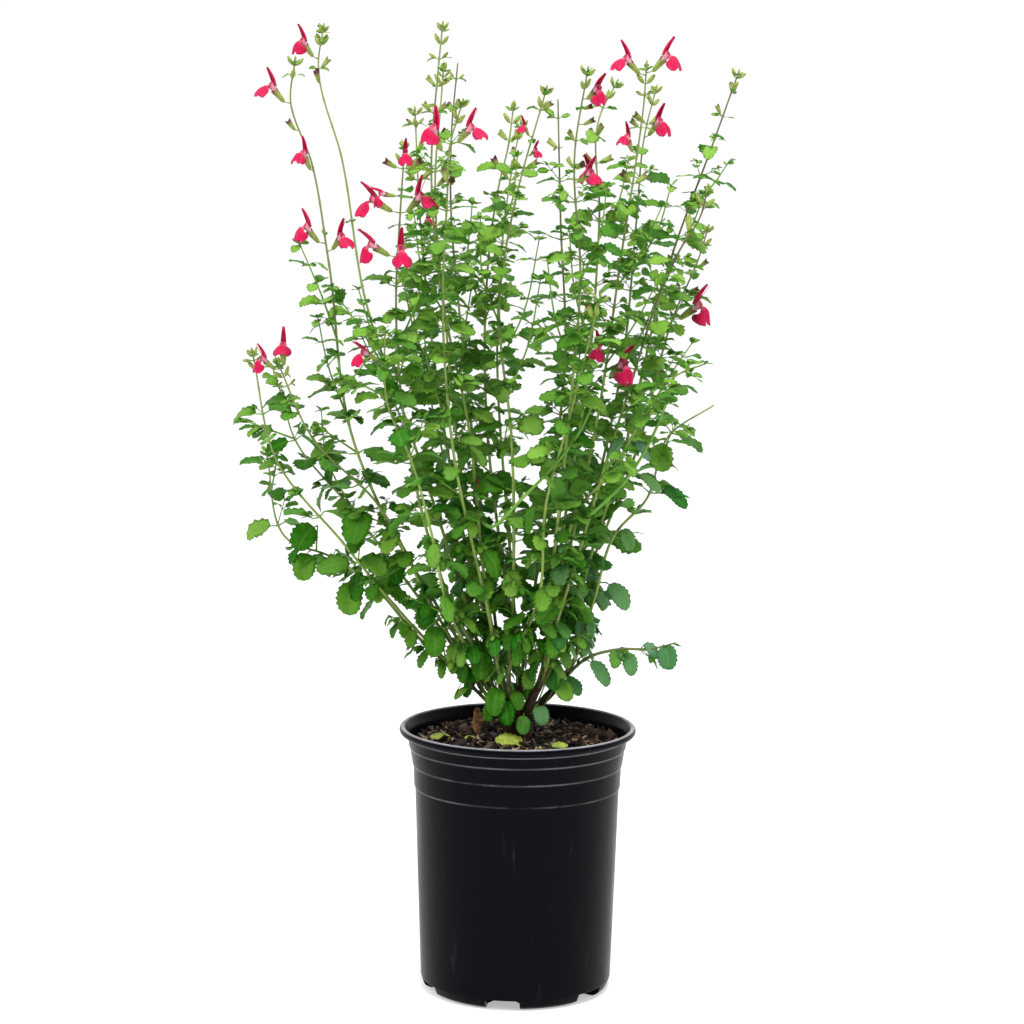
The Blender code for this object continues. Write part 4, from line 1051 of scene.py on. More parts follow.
def add_shoot_leaves(index, name, path, flowers):
    """The main leaves, axil shoots and tip leaves of one shoot."""
    main, small, sticks = [], [], []
    bare = SHOOTS[name][1]
    for number, s, turn, length in leaf_pairs(index, name, path):
        point, tangent, a, b = path.at(s)
        radius = stem_radius(path, s)
        height = float(point[2])
        share = share_of(height, *TONE_HEIGHTS)
        tone = 0.2 + 0.65 * share
        length *= float(np.interp(height, GROWTH_HEIGHTS, GROWTH))
        racemed = s > path.length - bare
        if racemed and s < path.length - STRIPPED.get(name, bare) and number % STRIPPED_KEEPS:
            continue
        if name in SPARSE_SHOOTS and number % SPARSE_LOSES == 1:
            continue
        full = hashed(index, number, 51) < RACEME_LEAF_SHARE
        if racemed and full and s < path.length - RACEME_LEAF_END:
            length = RACEME_LEAF
        if any(abs(s - flower) < FLOWER_ROOM for flower in flowers):
            continue
        for side in (number % 4, (number + 2) % 4):
            angle = turn + side * math.pi / 2
            out = around(angle, a, b)
            root = point + out * radius
            keys = (index, number * 4 + side)
            row = leaf_row(root, out, tangent, length, keys, tone)
            (main if length > LARGE_LEAF else small).append(row)
            if racemed:
                continue
            chance = hashed(*keys, 12)
            axil = root + tangent * 1.2
            if chance < LONG_AXIL_SHARE and height < LONG_AXIL_TOP:
                reach, size = spread(*LONG_AXIL, *keys, 14), LONG_AXIL_LEAF
            elif chance < AXIL_SHARE + 0.4 * share:
                reach = spread(3, 7 + 7 * share, *keys, 14)
                size = length * spread(0.38, 0.56, *keys, 15)
            else:
                continue
            side_shoot(main, small, sticks, axil, out, tangent, reach, size, keys, tone + 0.12)
    if name not in CUT_SHOOTS:
        small += tip_leaves(path, 0.5, index, 900, 5.5, 0.9, 2.5, (0.12, 0.5))
    surface = Surface()
    add_leaves(surface, main, *LARGE_GRID)
    add_leaves(surface, small, *SMALL_GRID)
    if sticks:
        starts, ends = np.array([s[0] for s in sticks]), np.array([s[1] for s in sticks])
        radius = np.clip(np.linalg.norm(ends - starts, axis=1) * 0.02, 0.3, 0.6)
        add_stalks(surface, starts, ends, radius, (0.9, 0.0, 0.5))
    return surface


def add_twigs(surface, name, path):
    """The side shoots of one shoot: bare arching ones, and leafy ones, each a thin stem with
    pairs that shrink to its tip."""
    rows, small = [], []
    for parent, height, points in BARE_TWIGS:
        if parent == name:
            twig = path.forked(height, points)
            add_tube(surface, twig, 0, twig.length, np.linspace(1.25, 0.8, 24), 8, (0.75, 0.15, 0.5))
    for index, (parent, height, points) in enumerate(TWIGS):
        if parent != name:
            continue
        twig = path.forked(height, points)
        add_tube(surface, twig, 0, twig.length, np.linspace(0.75, 0.4, 12), 6, (0.85, 0.0, 0.5))
        places = np.arange(12.0, twig.length - 1, 14.0)
        for number, s in enumerate(places):
            point, tangent, a, b = twig.at(s)
            share = s / twig.length
            length = 18 - 7 * share
            for sign in (1, -1):
                across = (a if number % 2 else b) * sign
                keys = (index + 50, number * 2 + sign)
                foot, tone = point + across * 0.4, 0.35 + 0.5 * share
                rows.append(leaf_row(foot, across, tangent, length, keys, tone))
                way, keys = unit(across + tangent), (index + 90, keys[1])
                small.append(leaf_row(point, way, tangent, length * 0.42, keys, 0.8))
        small += tip_leaves(twig, 0.0, index, 950, 6.5, 0.8, 0.0, (0.1, 0.4))
    add_leaves(surface, rows, *LARGE_GRID)
    add_leaves(surface, small, *SMALL_GRID)


def add_low_leaves(surface, paths):
    """Broad leaves that hang: those round the crown on thin sprouts that come up from it, and
    those further out on stalks that run back to the nearest shoot."""
    shoots = np.concatenate([path.at(np.linspace(0, path.length, 80))[0] for path in paths])
    rows, starts, ends = [], [], []
    # The last value of each row is the painted bluish green sheen.
    for k, (base, bearing, length, share, painted_sheen) in enumerate(LOW_LEAVES + HANGING_LEAVES):
        level = bearing_way(bearing)
        base = np.array(base, float)
        steep = abs(level[1])
        hanging = k >= len(LOW_LEAVES)
        rows.append({
            "root": base - level * 2.5 + UP * 1.0,
            "base": base,
            "level": level,
            "length": length,
            "width": length * share,
            "start": math.radians(-15 - 30 * steep + spread(-12, 12, k, 1, 91)),
            "end": math.radians(-48 - 45 * steep + spread(-10, 10, k, 1, 92)),
            "roll": math.radians(spread(-20, 20, k, 1, 93) - 45 * level[0]),
            "fold": spread(0.35, 0.8, k, 1, 94),
            "wave": spread(0, 6.28, k, 1, 95),
            "look": (spread(0.0, 0.3, k, 1, 96) + (0.25 if hanging else 0.0), painted_sheen, hashed(k, 1, 97)),
        })
        foot = np.array([base[0] * 0.45, base[1] * 0.5, min(base[2] - 12, SPROUT_TOP)])
        if hanging:
            foot = shoots[np.argmin(np.linalg.norm(shoots - base + level * 6, axis=1))]
        starts.append(foot)
        ends.append(rows[-1]["root"])
    add_leaves(surface, rows, *LOW_GRID)
    radius = np.full(len(starts), 0.55)
    add_stalks(surface, np.array(starts), np.array(ends), radius, (0.7, 0.0, 0.5))


# Stems and crown


def stem_radius(path, s):
    """A shoot thins towards its tip."""
    return SHOOT_FOOT_RADIUS + (SHOOT_TIP_RADIUS - SHOOT_FOOT_RADIUS) * s / path.length


def shoot_paths():
    """The path of each shoot. The shoots of a branch stand in a ring on its end, each in the
    place nearest the way it goes, and their feet run down into the branch."""
    paths = {}
    for branch, points in BRANCHES.items():
        names = [name for name, shoot in SHOOTS.items() if shoot[0] == branch]
        path = Path(points)
        end, tangent, a, b = path.at(path.length)
        end = end + tangent * SEAT_GAP
        circle = SHOOT_SPACING / 2 / math.sin(math.pi / len(names))
        bearings = {}
        for name in names:
            away = np.array(SHOOTS[name][3][0], float) - end
            bearings[name] = math.atan2(away.dot(b), away.dot(a))
        ordered = sorted(names, key=lambda name: bearings[name])
        step = 2 * math.pi / len(ordered)
        offsets = [bearings[name] - i * step for i, name in enumerate(ordered)]
        start = math.atan2(sum(map(math.sin, offsets)), sum(map(math.cos, offsets)))
        for i, name in enumerate(ordered):
            out = around(start + i * step, a, b)
            foot = end + circle * out
            lead = foot + SHOOT_LEAD * tangent + 0.12 * SHOOT_LEAD * out
            paths[name] = Path([foot, lead] + SHOOTS[name][3])
    return {name: paths[name] for name in SHOOTS}


def add_stem(name, path, pairs):
    """A square stem, swollen a little at each leaf pair. It starts inside its branch."""
    surface = Surface()
    count = int(path.length / STEM_STEP)
    s = np.linspace(0, path.length, count)
    centres, tangent, a, b = path.at(s)
    radii = stem_radius(path, s)
    joints = np.array([pair[1] for pair in pairs] + [-99.0])
    near = np.min(np.abs(s[:, None] - joints), axis=1)
    radii = radii * (1 + JOINT_SWELL * np.exp(-((near / JOINT_REACH) ** 2)))
    centres = np.concatenate([centres[:1] - tangent[:1] * SHOOT_ROOT, centres])
    purple = np.clip(SHOOTS[name][2] * 1.4, 0.42, 1.0) * np.clip((s / path.length - 0.4) * 2.6, 0.05, 1.0)
    a, b, radii, purple = (np.concatenate([row[:1], row]) for row in (a, b, radii, purple))
    share = np.clip((centres[:, 2] - STEM_BROWN[0]) / STEM_BROWN[1], 0, 1)
    look = np.stack([share, purple, np.full(len(centres), 0.5)], axis=-1)
    add_tubes(surface, centres[None], a[None], b[None], radii[None], STEM_SIDES, look[None], STEM_SQUARE)
    return surface


def add_crown(surface):
    """The stump and its branches: tapering tubes with lumps of bark."""
    for k, (name, points) in enumerate({"stump": STUMP, **BRANCHES}.items()):
        path = Path(points)
        end = path.length + (0 if name == "stump" else BRANCH_OVERRUN)
        s = np.linspace(0, end, CROWN_ROWS)
        share = s / s[-1]
        tapers = {"stump": STUMP_TAPER, "leaning_right": LEANING_TAPER}
        first, shrink, power = tapers.get(name, BRANCH_TAPER)
        radii = first - shrink * share**power
        radii = radii * (1 + 0.08 * np.sin(share * 17 + k) + 0.05 * np.sin(share * 41 + 2 * k))
        radii[-3:] *= [0.95, 0.8, 0.5]
        add_tube(surface, path, 0, end, radii, 14, (0.5, 0.5, 0.5))


# Flowers


CALYX_SHARE = 0.8  # the share of a raceme's places that still have their calyx
BUD_REACH = 22  # buds are this near the tip
BUD_SHARE = 0.8
CALYX_SIZES = {"bud": (4.5, 6.5), "open": (7.0, 11.0)}
TIP_WHORLS = 2  # rings of buds right at the tip
WHORL_SPACING = 9.0

# The corolla's tube, in shares of the flower's length: how far ahead, radius and lobes.
TUBE_ROWS = [
    (0.22, 0.035, 0), (0.34, 0.05, 0), (0.46, 0.072, 0), (0.57, 0.086, 1), (0.56, 0.078, 1),
    (0.4, 0.05, 0),
]


def calyx_shapes():
    """An open calyx with one upper and two lower teeth, and a closed bud, each 1 long."""

    def teeth(angle):
        upper = np.maximum(0, np.cos(angle - math.pi / 2)) ** 4
        lower = np.maximum(0, np.cos(angle + 0.95)) ** 6 + np.maximum(0, np.cos(angle + 2.19)) ** 6
        return 0.22 * upper + 0.2 * lower

    opened = [
        (0, 0.05, 0), (0.12, 0.13, 0), (0.5, 0.18, 0), (0.85, 0.23, 1), (0.83, 0.2, 1),
        (0.5, 0.14, 0),
    ]
    closed = [(0, 0.05, 0), (0.15, 0.15, 0), (0.5, 0.2, 0), (0.85, 0.1, 0.4), (0.98, 0.03, 0)]
    return {"open": (cup_shape(opened, 10, teeth), 6), "bud": (cup_shape(closed, 8, teeth), 5)}


def add_cups(surface, kind, base, ahead, size, maroon):
    """Many calyxes or buds of one kind."""
    (shape, faces), rows = calyx_shapes()[kind]
    points = placed(shape, base, axes_of(ahead), size)
    count, stride = points.shape[:2]
    around = (stride - 2) // rows
    share = np.clip(np.concatenate([shape[:, 0][:-2], [0, 0.5]]), 0, 1)
    look = np.zeros((count, stride, 3))
    look[:, :, 0] = share
    look[:, :, 1] = maroon[:, None]
    look[:, :, 2] = 0.5
    uv = np.zeros((stride, 2))
    uv[:-2, 0] = np.tile(np.arange(around) / around, rows)
    surface.add(points, [many(face, stride, count) for face in faces], look, np.tile(uv, (count, 1)))


def flower_frame(place, path):
    """Where a flower's stalk starts, its calyx's foot, the way it points and its length."""
    _, height, way, scale = place[:4]
    s = path.distance_at_height(height)
    point, tangent, _, _ = path.at(s)
    axis = unit(np.array(way, float))
    out = unit(axis - tangent * axis.dot(tangent))
    size = scale * FLOWER_LENGTH
    start = point + out * stem_radius(path, s) * 0.6
    foot = point + out * (stem_radius(path, s) * 1.15 + SEAT_GAP) + out * 0.1 * size + axis * 0.05 * size
    return start, foot, axis, size


def hood_grid(chance):
    """The hood in shares of the flower's length, x ahead and z up, with the directions it
    faces: a narrow arched roof that leaves the mouth bent up by about 20 degrees, is widest
    before its middle and narrows to its tip."""
    u = np.linspace(0, 1, 10)[:, None]
    v = np.linspace(-1, 1, 7)[None]
    bend = math.radians(18 + 22 * chance) - math.radians(20) * u
    step = 0.5 / 9
    ahead = 0.46 + np.cumsum(np.cos(bend) * step, axis=0) - step
    rise = 0.03 + np.cumsum(np.sin(bend) * step, axis=0)
    girth = 0.07 * (1 - 0.6 * u) * (0.85 + 1.2 * u * (1 - u)) + 0.006
    angle = v * math.radians(108)
    over = np.cos(angle)
    normal = [-over * np.sin(bend), np.sin(angle) + 0 * u, over * np.cos(bend)]
    normal = np.stack(normal, axis=-1)
    spine = np.stack([ahead + 0 * v, 0 * u * v, rise + 0 * v], axis=-1)
    return spine + girth[..., None] * normal, normal


def lip_grid(chance):
    """The lip in shares of the flower's length, from the mouth at the origin: it sets off
    ahead, turns down within its first half, has two small side lobes, and widens to a broad
    end with a notch in the middle and rounded corners."""
    u = np.linspace(0, 1, 13)[:, None]
    v = np.linspace(-1, 1, 9)[None]
    drop = math.radians(-10) - math.radians(76 + 34 * chance) * np.minimum(u * 1.9, 1.0)
    notch = 0.34 * np.exp(-((v / 0.22) ** 2)) * u + (0.2 + 0.1 * np.sin(9 * chance)) * v**4 * u
    step = 0.52 * (1 - notch) / 12
    ahead = np.cumsum(np.cos(drop) * step, axis=0) - 0.03
    rise = np.cumsum(np.sin(drop) * step, axis=0)
    lobes = 0.05 * np.exp(-(((u - 0.2) / 0.08) ** 2))
    broad = 0.165 * np.sin(np.clip((u - 0.24) / 0.76, 0, 1) * math.pi * 0.8) ** 0.75
    wide = 0.06 + lobes + broad
    normal = np.stack([-np.sin(drop) + 0 * v, 0 * u * v, np.cos(drop) + 0 * v], axis=-1)
    curl = -(0.7 * chance + 0.3) * v**2 * wide + 0.04 * np.sin(v * 7 + 9 * chance + 3 * u) * u
    points = np.stack([ahead, v * wide, rise + 0 * v], axis=-1) + normal * curl[..., None]
    return points, normal


def add_petal(surface, grid, normal, origin, axes, look):
    """One petal: its grid turned into its axes and thickened."""
    rows, cols = grid.shape[:2]
    world = (origin + grid.reshape(-1, 3) @ axes).reshape(1, rows, cols, 3)
    facing = (normal.reshape(-1, 3) @ axes).reshape(1, rows, cols, 3)

    def by_row(first, last):
        each = np.linspace(first, last, rows)
        return np.concatenate([np.repeat(each, cols), np.repeat(each[1:-1], cols - 2)])

    values = np.stack([by_row(*look[:2]), by_row(*look[2:]), by_row(0.5, 0.5)], axis=-1)
    add_sheets(surface, world[:, :, ::-1], facing[:, :, ::-1], PETAL_THICKNESS, values[None])


def add_corolla(surface, foot, axis, size, deep, chance):
    """Tube, hood, lip and style of one flower. The lip is turned a little to the front."""
    axes = axes_of(axis[None])[0]
    tube, faces = cup_shape(TUBE_ROWS, 12, lambda angle: 0.02 * np.sin(angle))
    share = np.concatenate([np.repeat([0.0, 0.05, 0.2, 0.4, 0.4, 0.3], 12), [0.0, 0.3]])
    look = np.stack([share, np.full(len(share), deep * 0.3), np.full(len(share), 0.5)], axis=-1)
    surface.add(foot + (tube * size) @ axes, faces, look)
    grid, normal = hood_grid(chance)
    add_petal(surface, grid * size, normal, foot, axes, (0.42, 0.75, deep * 0.5, min(1.0, deep * 1.6)))
    mouth = foot + (np.array([0.54, 0.0, -0.04]) * size) @ axes
    front = axes_of(unit(axis + 0.45 * np.array([0.0, -1.0, 0.0]))[None])[0]
    grid, normal = lip_grid(hashed(chance * 10, 3, 63))
    add_petal(surface, grid * size, normal, mouth, front, (0.26, 1.0, deep * 0.9, deep * 0.5))
    style = foot + (np.array([[0.5, 0.0, 0.05], [0.72, 0.0, 0.13], [0.93, 0.0, 0.2]]) * size) @ axes
    a = np.repeat(axes[1][None, None], 3, axis=1)
    b = np.cross(unit(style[None, -1:] - style[None, :1]), a)
    add_tubes(surface, style[None], a, b, np.array([[0.25, 0.22, 0.16]]), 5, (0.75, 0.5, 0.5))


def add_flower_parts(calyxes, petals, place, path, index):
    """One flower: stalk and calyx go with the shoot's calyxes, the petals stand alone."""
    start, foot, axis, size = flower_frame(place, path)
    add_stalks(calyxes, start[None], (foot + axis * 0.3)[None], np.array([0.42]), (0.0, 0.2, 0.5), 6)
    maroon = spread(0.45, 0.9, index, 4, 60) if petals else spread(0.9, 1.5, index, 4, 60)
    add_cups(calyxes, "open", foot[None], axis[None], np.array([size * 0.4]), np.array([maroon]))
    if petals:
        add_corolla(petals, foot, axis, size, spread(0.2, 0.8, index, 5, 62), hashed(index, 5, 61))


def add_bare_calyxes(surface, index, name, path, flowers):
    """Calyxes that have dropped their flower, and the buds at the tip of a raceme."""
    bare = SHOOTS[name][1]
    rows = {"open": [], "bud": []}
    for number, s, turn, _ in leaf_pairs(index, name, path):
        if s < path.length - STRIPPED.get(name, bare):
            continue
        if any(abs(s - flower) < FLOWER_ROOM for flower in flowers):
            continue
        point, tangent, a, b = path.at(s)
        for side in (number % 4, (number + 2) % 4):
            keys = (index, number * 4 + side)
            if hashed(*keys, 41) > CALYX_SHARE:
                continue
            angle = turn + side * math.pi / 2 + 0.5
            out = around(angle, a, b)
            ahead = unit(out + tangent * spread(0.3, 1.2, *keys, 42))
            root = point + out * stem_radius(path, s) * 0.6
            near_tip = path.length - s < BUD_REACH
            kind = "bud" if near_tip and hashed(*keys, 43) < BUD_SHARE else "open"
            size = spread(*CALYX_SIZES[kind], *keys, 44)
            foot = root + (out + ahead) * 1.1
            rows[kind].append((root, foot, ahead, size, spread(0.0, 1.3, *keys, 45)))
    if bare and name not in CUT_SHOOTS:
        point, tangent, _, _ = path.at(path.length)
        rows["bud"].append((point - tangent, point + tangent * 0.3, tangent, 4.5, 0.1))
        for k in range(TIP_WHORLS):
            point, tangent, a, b = path.at(path.length - 2.0 - WHORL_SPACING * k)
            for side in (0, 1):
                angle = math.pi / 2 * k + math.pi * side + index
                out = around(angle, a, b)
                ahead = unit(out * 0.8 + tangent)
                size = 6.6 + 1.2 * k
                rows["bud"].append((point, point + out * 1.3 + tangent * 0.5, ahead, size, 0.05))
    for kind, found in rows.items():
        if not found:
            continue
        root, foot, ahead, size, maroon = (np.array([row[i] for row in found], float) for i in range(5))
        add_stalks(surface, root, foot + ahead * 0.2, np.full(len(found), 0.36), (0.0, 0.1, 0.5))
        add_cups(surface, kind, foot, ahead, size, maroon)


# Pot and soil


BOX = np.array([(x, y, z) for x in (-1, 1) for y in (-1, 1) for z in (-1, 1)], float)
BOX_SIDES = [(0, 1, 3, 2), (4, 6, 7, 5), (0, 4, 5, 1), (2, 3, 7, 6), (0, 2, 6, 4), (1, 5, 7, 3)]


def rounded(points, radius):
    """A profile whose corners are replaced by short parabolas that touch both sides."""
    points = np.array(points, float)
    out = [points[:1]]
    t = np.linspace(0, 1, 5)[:, None]
    for before, corner, after in zip(points, points[1:], points[2:]):
        cut = min(radius, 0.45 * np.linalg.norm(corner - before), 0.45 * np.linalg.norm(after - corner))
        start = corner + unit(before - corner) * cut
        end = corner + unit(after - corner) * cut
        out.append(start * (1 - t) ** 2 + corner * 2 * t * (1 - t) + end * t**2)
    out.append(points[-1:])
    return np.concatenate(out)


def turned(profile, segments):
    """A closed turned body: rings of points at each radius and height of the profile, with
    its first and last points on the axis."""
    profile = np.asarray(profile, float)
    angle = np.arange(segments) * 2 * math.pi / segments
    rings = profile[1:-1]
    ways = [(0, np.cos(angle)), (0, np.sin(angle)), (1, np.ones(segments))]
    points = np.stack([np.outer(rings[:, k], way) for k, way in ways], axis=-1)
    poles = [[0, 0, profile[0, 1]], [0, 0, profile[-1, 1]]]
    return np.concatenate([points.reshape(-1, 3), poles]), tube_faces(len(rings), segments)


def pot_profile():
    """Half the pot's section, from the middle of its underside round to the inner floor."""
    inner_floor = FLOOR_RAISE + FLOOR_THICKNESS
    under = [
        (0, 0),
        (PAD_RADIUS, 0),
        (PAD_RADIUS + 2, FLOOR_RAISE),
        (FOOT_INNER_RADIUS, FLOOR_RAISE),
        (FOOT_INNER_RADIUS + 1.5, 0),
        (FOOT_OUTER_RADIUS, 0),
    ]
    inside = [(radius - WALL, z) for radius, z in reversed(WALL_OUTSIDE[1:])]
    inside += [
        (INNER_FLOOR_RADIUS, inner_floor),
        (PAD_RADIUS + 1, inner_floor),
        (PAD_RADIUS - 1, FLOOR_THICKNESS),
        (0, FLOOR_THICKNESS),
    ]
    return rounded(under + WALL_OUTSIDE + RIM_ROLL + inside, EDGE_ROUNDING)


def cut_notches(pot):
    """Cuts the drain notches out of the pot's foot with one mesh of boxes, then applies it."""
    reach = (FOOT_OUTER_RADIUS + WALL_OUTSIDE[1][0]) / 2
    depth = reach - FOOT_INNER_RADIUS
    corners, faces = [], []
    for k in range(NOTCH_COUNT):
        azimuth = math.radians(NOTCH_AZIMUTH + k * 360 / NOTCH_COUNT)
        across = np.array([-math.cos(azimuth), -math.sin(azimuth), 0])
        outward = np.array([math.sin(azimuth), -math.cos(azimuth), 0])
        size = BOX * [NOTCH_WIDTH / 2, depth, NOTCH_HEIGHT]
        corners.append(outward * reach + size[:, :1] * across + size[:, 1:2] * outward + size[:, 2:] * UP)
        faces += [tuple(i + 8 * k for i in side) for side in BOX_SIDES]
    mesh = bpy.data.meshes.new("notches")
    mesh.from_pydata(np.concatenate(corners) * MM, [], faces)
    cutter = bpy.data.objects.new("notches", mesh)
    bpy.context.scene.collection.objects.link(cutter)
    cut = pot.modifiers.new("notches", "BOOLEAN")
    cut.operation, cut.solver, cut.object = "DIFFERENCE", "EXACT", cutter
    evaluated = pot.evaluated_get(bpy.context.evaluated_depsgraph_get())
    result = bpy.data.meshes.new_from_object(evaluated)
    pot.modifiers.clear()
    pot.data = result
    bpy.data.objects.remove(cutter)


def ripples(x, y):
    """Uneven ground from 0 to 1: a sum of slanted sine waves."""
    total = 0.0
    for k in range(9):
        turn, pitch = 2.4 * k + 0.7, 0.11 * 1.35**k
        total = total + np.sin((x * math.cos(turn) + y * math.sin(turn)) * pitch + 1.9 * k) / (1 + 0.35 * k)
    return 0.5 + total / 8


def ground(x, y):
    """The height of the soil at a place: a little domed and sunk at the wall, with ripples."""
    away = np.hypot(x, y)
    return SOIL_TOP - 0.6 - 1.4 * (away / 74) ** 4 + 2.2 * (ripples(x, y) - 0.5)


def add_soil_body(surface):
    """A turned body whose upper rings follow the uneven ground."""
    rings = [(radius, SOIL_TOP) for radius in np.linspace(*SOIL_RADII, SOIL_ROWS)]
    profile = [*SOIL_SIDE, *rings, (0, SOIL_TOP)]
    points, faces = turned(profile, SOIL_SEGMENTS)
    top = points[:, 2] > SOIL_TOP - 1
    points[top, 2] = ground(points[top, 0], points[top, 1])
    surface.add(points, faces)


def add_chips(surface):
    """Bark chips: boxes with uneven corners, lying flat or tipped, half sunk in the ground."""
    random = np.random.default_rng(SEED)
    count = CHIP_COUNT
    away = CHIP_SPREAD * np.sqrt(random.random(count))
    bearing = random.random(count) * 2 * math.pi
    x, y = away * np.cos(bearing), away * np.sin(bearing)
    long = random.gamma(2.2, 2.1, count) + 1.3
    wide = long * random.uniform(0.2, 0.7, count)
    size = np.stack([long, wide, random.uniform(0.6, 2.2, count)], axis=-1) / 2
    corners = BOX[None] * (1 - 0.45 * random.random((count, 8, 3))) * size[:, None]
    yaw = random.random(count) * 6.28
    tilt, lean = random.normal(0, 0.42, count), random.normal(0, 0.42, count)
    ahead = np.stack([np.cos(yaw) * np.cos(tilt), np.sin(yaw) * np.cos(tilt), np.sin(tilt)], axis=-1)
    side = unit(np.cross(UP, ahead))
    side = side * np.cos(lean)[:, None] + UP * np.sin(lean)[:, None]
    over = unit(np.cross(ahead, side))
    axes = np.stack([ahead, side, over], axis=1)
    base = np.stack([x, y, ground(x, y) + random.uniform(-0.2, 1.8, count)], axis=-1)
    keep = away + long / 2 < CHIP_REACH
    points = (base[:, None] + np.einsum("npk,nkc->npc", corners, axes))[keep]
    look = np.stack([random.random(count) ** power for power in (6, 9, 1)], axis=-1)[keep]
    surface.add(points, [many(BOX_SIDES, 8, len(points))], np.repeat(look[:, None], 8, axis=1))


def add_fallen(surface, middle, length, width, bearing, stand=0.0):
    """A leaf that has dropped on the soil: a leaf blade, nearly flat, or on end by an angle."""
    level = bearing_way(bearing)
    centre = np.array([*middle, ground(*middle) + 1.2 + 0.28 * width * math.cos(stand)])
    leaf = {
        "base": centre - level * math.cos(stand) * length / 2,
        "level": level,
        "length": length,
        "width": width,
        "start": stand + 0.2,
        "end": stand - 0.2,
        "roll": -0.6 if level[0] > 0 else 0.6,
        "fold": 0.2,
        "wave": bearing,
        "look": (0.9, 0.0, 0.5),
    }
    add_blades(surface, gathered([leaf]), *FALLEN_GRID)


def colour_property(name, description, default):
    """A colour that a user can change."""
    return FloatVectorProperty(
        name=name, description=description, default=default, size=3, subtype="COLOR", min=0.0, max=1.0
    )


def number_property(name, description, default, **more):
    """A number that a user can change, from 0 up."""
    return FloatProperty(name=name, description=description, default=default, min=0.0, **more)


class SalviaPot(bpy.types.PropertyGroup):
    """The nursery pot's finish."""

    colour: colour_property("Colour", "The plastic's own colour", (0.0014, 0.0015, 0.0032))
    dust: colour_property("Dust", "Dust that lies in the scuffs", (0.05, 0.047, 0.045))
    # Painted highlight: the light lines along the wall's steps.
    painted_ledge_highlight: colour_property("Worn edges", "The edges of the wall's steps", (0.09, 0.09, 0.1))
    # Painted highlight: the light band on top of the rim and the light line under it.
    rim: colour_property("Rim", "The rubbed edges of the rim", (0.42, 0.42, 0.45))
    gloss: number_property("Gloss", "Strength of the reflection", 0.05, max=1.0)
    roughness: number_property("Roughness", "How matt the plastic is", 0.24, max=1.0)


class SalviaSoil(bpy.types.PropertyGroup):
    """The bark mix's colours."""

    dark: colour_property("Dark", "Damp bark", (0.006, 0.0045, 0.0035))
    brown: colour_property("Brown", "Lighter crumbs", (0.045, 0.03, 0.02))
    tan: colour_property("Tan", "Dry wood chips", (0.62, 0.44, 0.32))
    red: colour_property("Red", "Reddish bark", (0.2, 0.075, 0.035))


class SalviaPlant(bpy.types.PropertyGroup):
    """The colours of leaves, stems and bark."""

    leaf_dark: colour_property("Old leaf", "Upper side of the lower leaves", (0.012, 0.15, 0.0))
    leaf_light: colour_property("Young leaf", "Upper side of the top leaves", (0.26, 0.5, 0.06))
    # Painted sheen: the pale bluish green of the hanging leaves on the right.
    leaf_painted_sheen: colour_property("Shaded leaf", "Blue-green leaves", (0.16, 0.32, 0.21))
    leaf_vein: colour_property("Veins", "Midrib and side veins", (0.26, 0.42, 0.11))
    leaf_under: colour_property("Underside", "Lower side of a leaf", (0.11, 0.35, 0.04))
    leaf_glow: colour_property("Light through", "Light that comes through a leaf", (0.3, 0.75, 0.02))
    stem_green: colour_property("Stem", "Green stem", (0.17, 0.27, 0.05))
    stem_light: colour_property("Light stem", "Light streaks of a stem", (0.36, 0.5, 0.12))
    stem_purple: colour_property("Ripe stem", "Purple-brown upper stem", (0.1, 0.08, 0.05))
    stem_brown: colour_property("Stem foot", "Brown foot of a stem", (0.045, 0.032, 0.014))
    bark_dark: colour_property("Bark cracks", "Dark bark", (0.018, 0.011, 0.008))
    bark_light: colour_property("Bark", "Light bark", (0.085, 0.052, 0.032))
    fallen_brown: colour_property("Dry leaf", "A dry leaf at the crown's foot", (0.42, 0.2, 0.07))
    fallen_yellow: colour_property("Fallen leaf", "Yellow of a fallen leaf", (0.42, 0.44, 0.06))
    fallen_green: colour_property("Fallen green", "Green left in a fallen leaf", (0.24, 0.34, 0.05))


class SalviaFlower(bpy.types.PropertyGroup):
    """The colours of calyx and petals."""

    petal_crimson: colour_property("Crimson", "Hood and lip", (0.64, 0.004, 0.075))
    petal_deep: colour_property("Deep crimson", "Darker places", (0.34, 0.003, 0.04))
    petal_rose: colour_property("Rose", "Lighter edge of the lip", (0.85, 0.06, 0.28))
    petal_pale: colour_property("Pale tube", "The tube of the flower", (0.85, 0.42, 0.52))
    calyx_green: colour_property("Calyx", "Green of the calyx", (0.24, 0.35, 0.045))
    calyx_rib: colour_property("Calyx ribs", "Lighter ribs", (0.44, 0.54, 0.13))
    calyx_maroon: colour_property("Calyx tips", "Dark tips of the calyx", (0.1, 0.015, 0.025))


class SalviaStage(bpy.types.PropertyGroup):
    """Floor, light and camera."""

    floor: colour_property("Floor", "The studio floor", (0.62, 0.62, 0.62))
    glow: number_property("Floor glow", "How far the floor lights itself", 0.43)
    sky: number_property("Sky", "Strength of the light from all round", 1.02, max=10.0)
    key: number_property("Key light", "Power of the key light", 44.0, unit="POWER")
    fill: number_property("Fill light", "Power of the fill light", 16.0, unit="POWER")
    top: number_property("Top light", "Power of the light above", 34.0, unit="POWER")
    distance: number_property("Camera distance", "From the pot's axis", 1.998, unit="LENGTH")
    height: number_property("Camera height", "Above the floor", 0.608, unit="LENGTH")
    lens: number_property("Lens", "Focal length in mm", 102.62)


class SALVIA_OT_pot(bpy.types.Operator):
    """Add the black nursery pot"""

    bl_idname = "salvia.pot"
    bl_label = "Pot"

    def execute(self, context):
        surface = Surface()
        surface.add(*turned(pot_profile(), POT_SEGMENTS))
        settings = context.scene.salvia_pot
        look = plastic_material("moulded_plastic", settings)
        pot = surface.piece("nursery_pot", look, "black_plastic", "pot")
        cut_notches(pot)
        return {"FINISHED"}


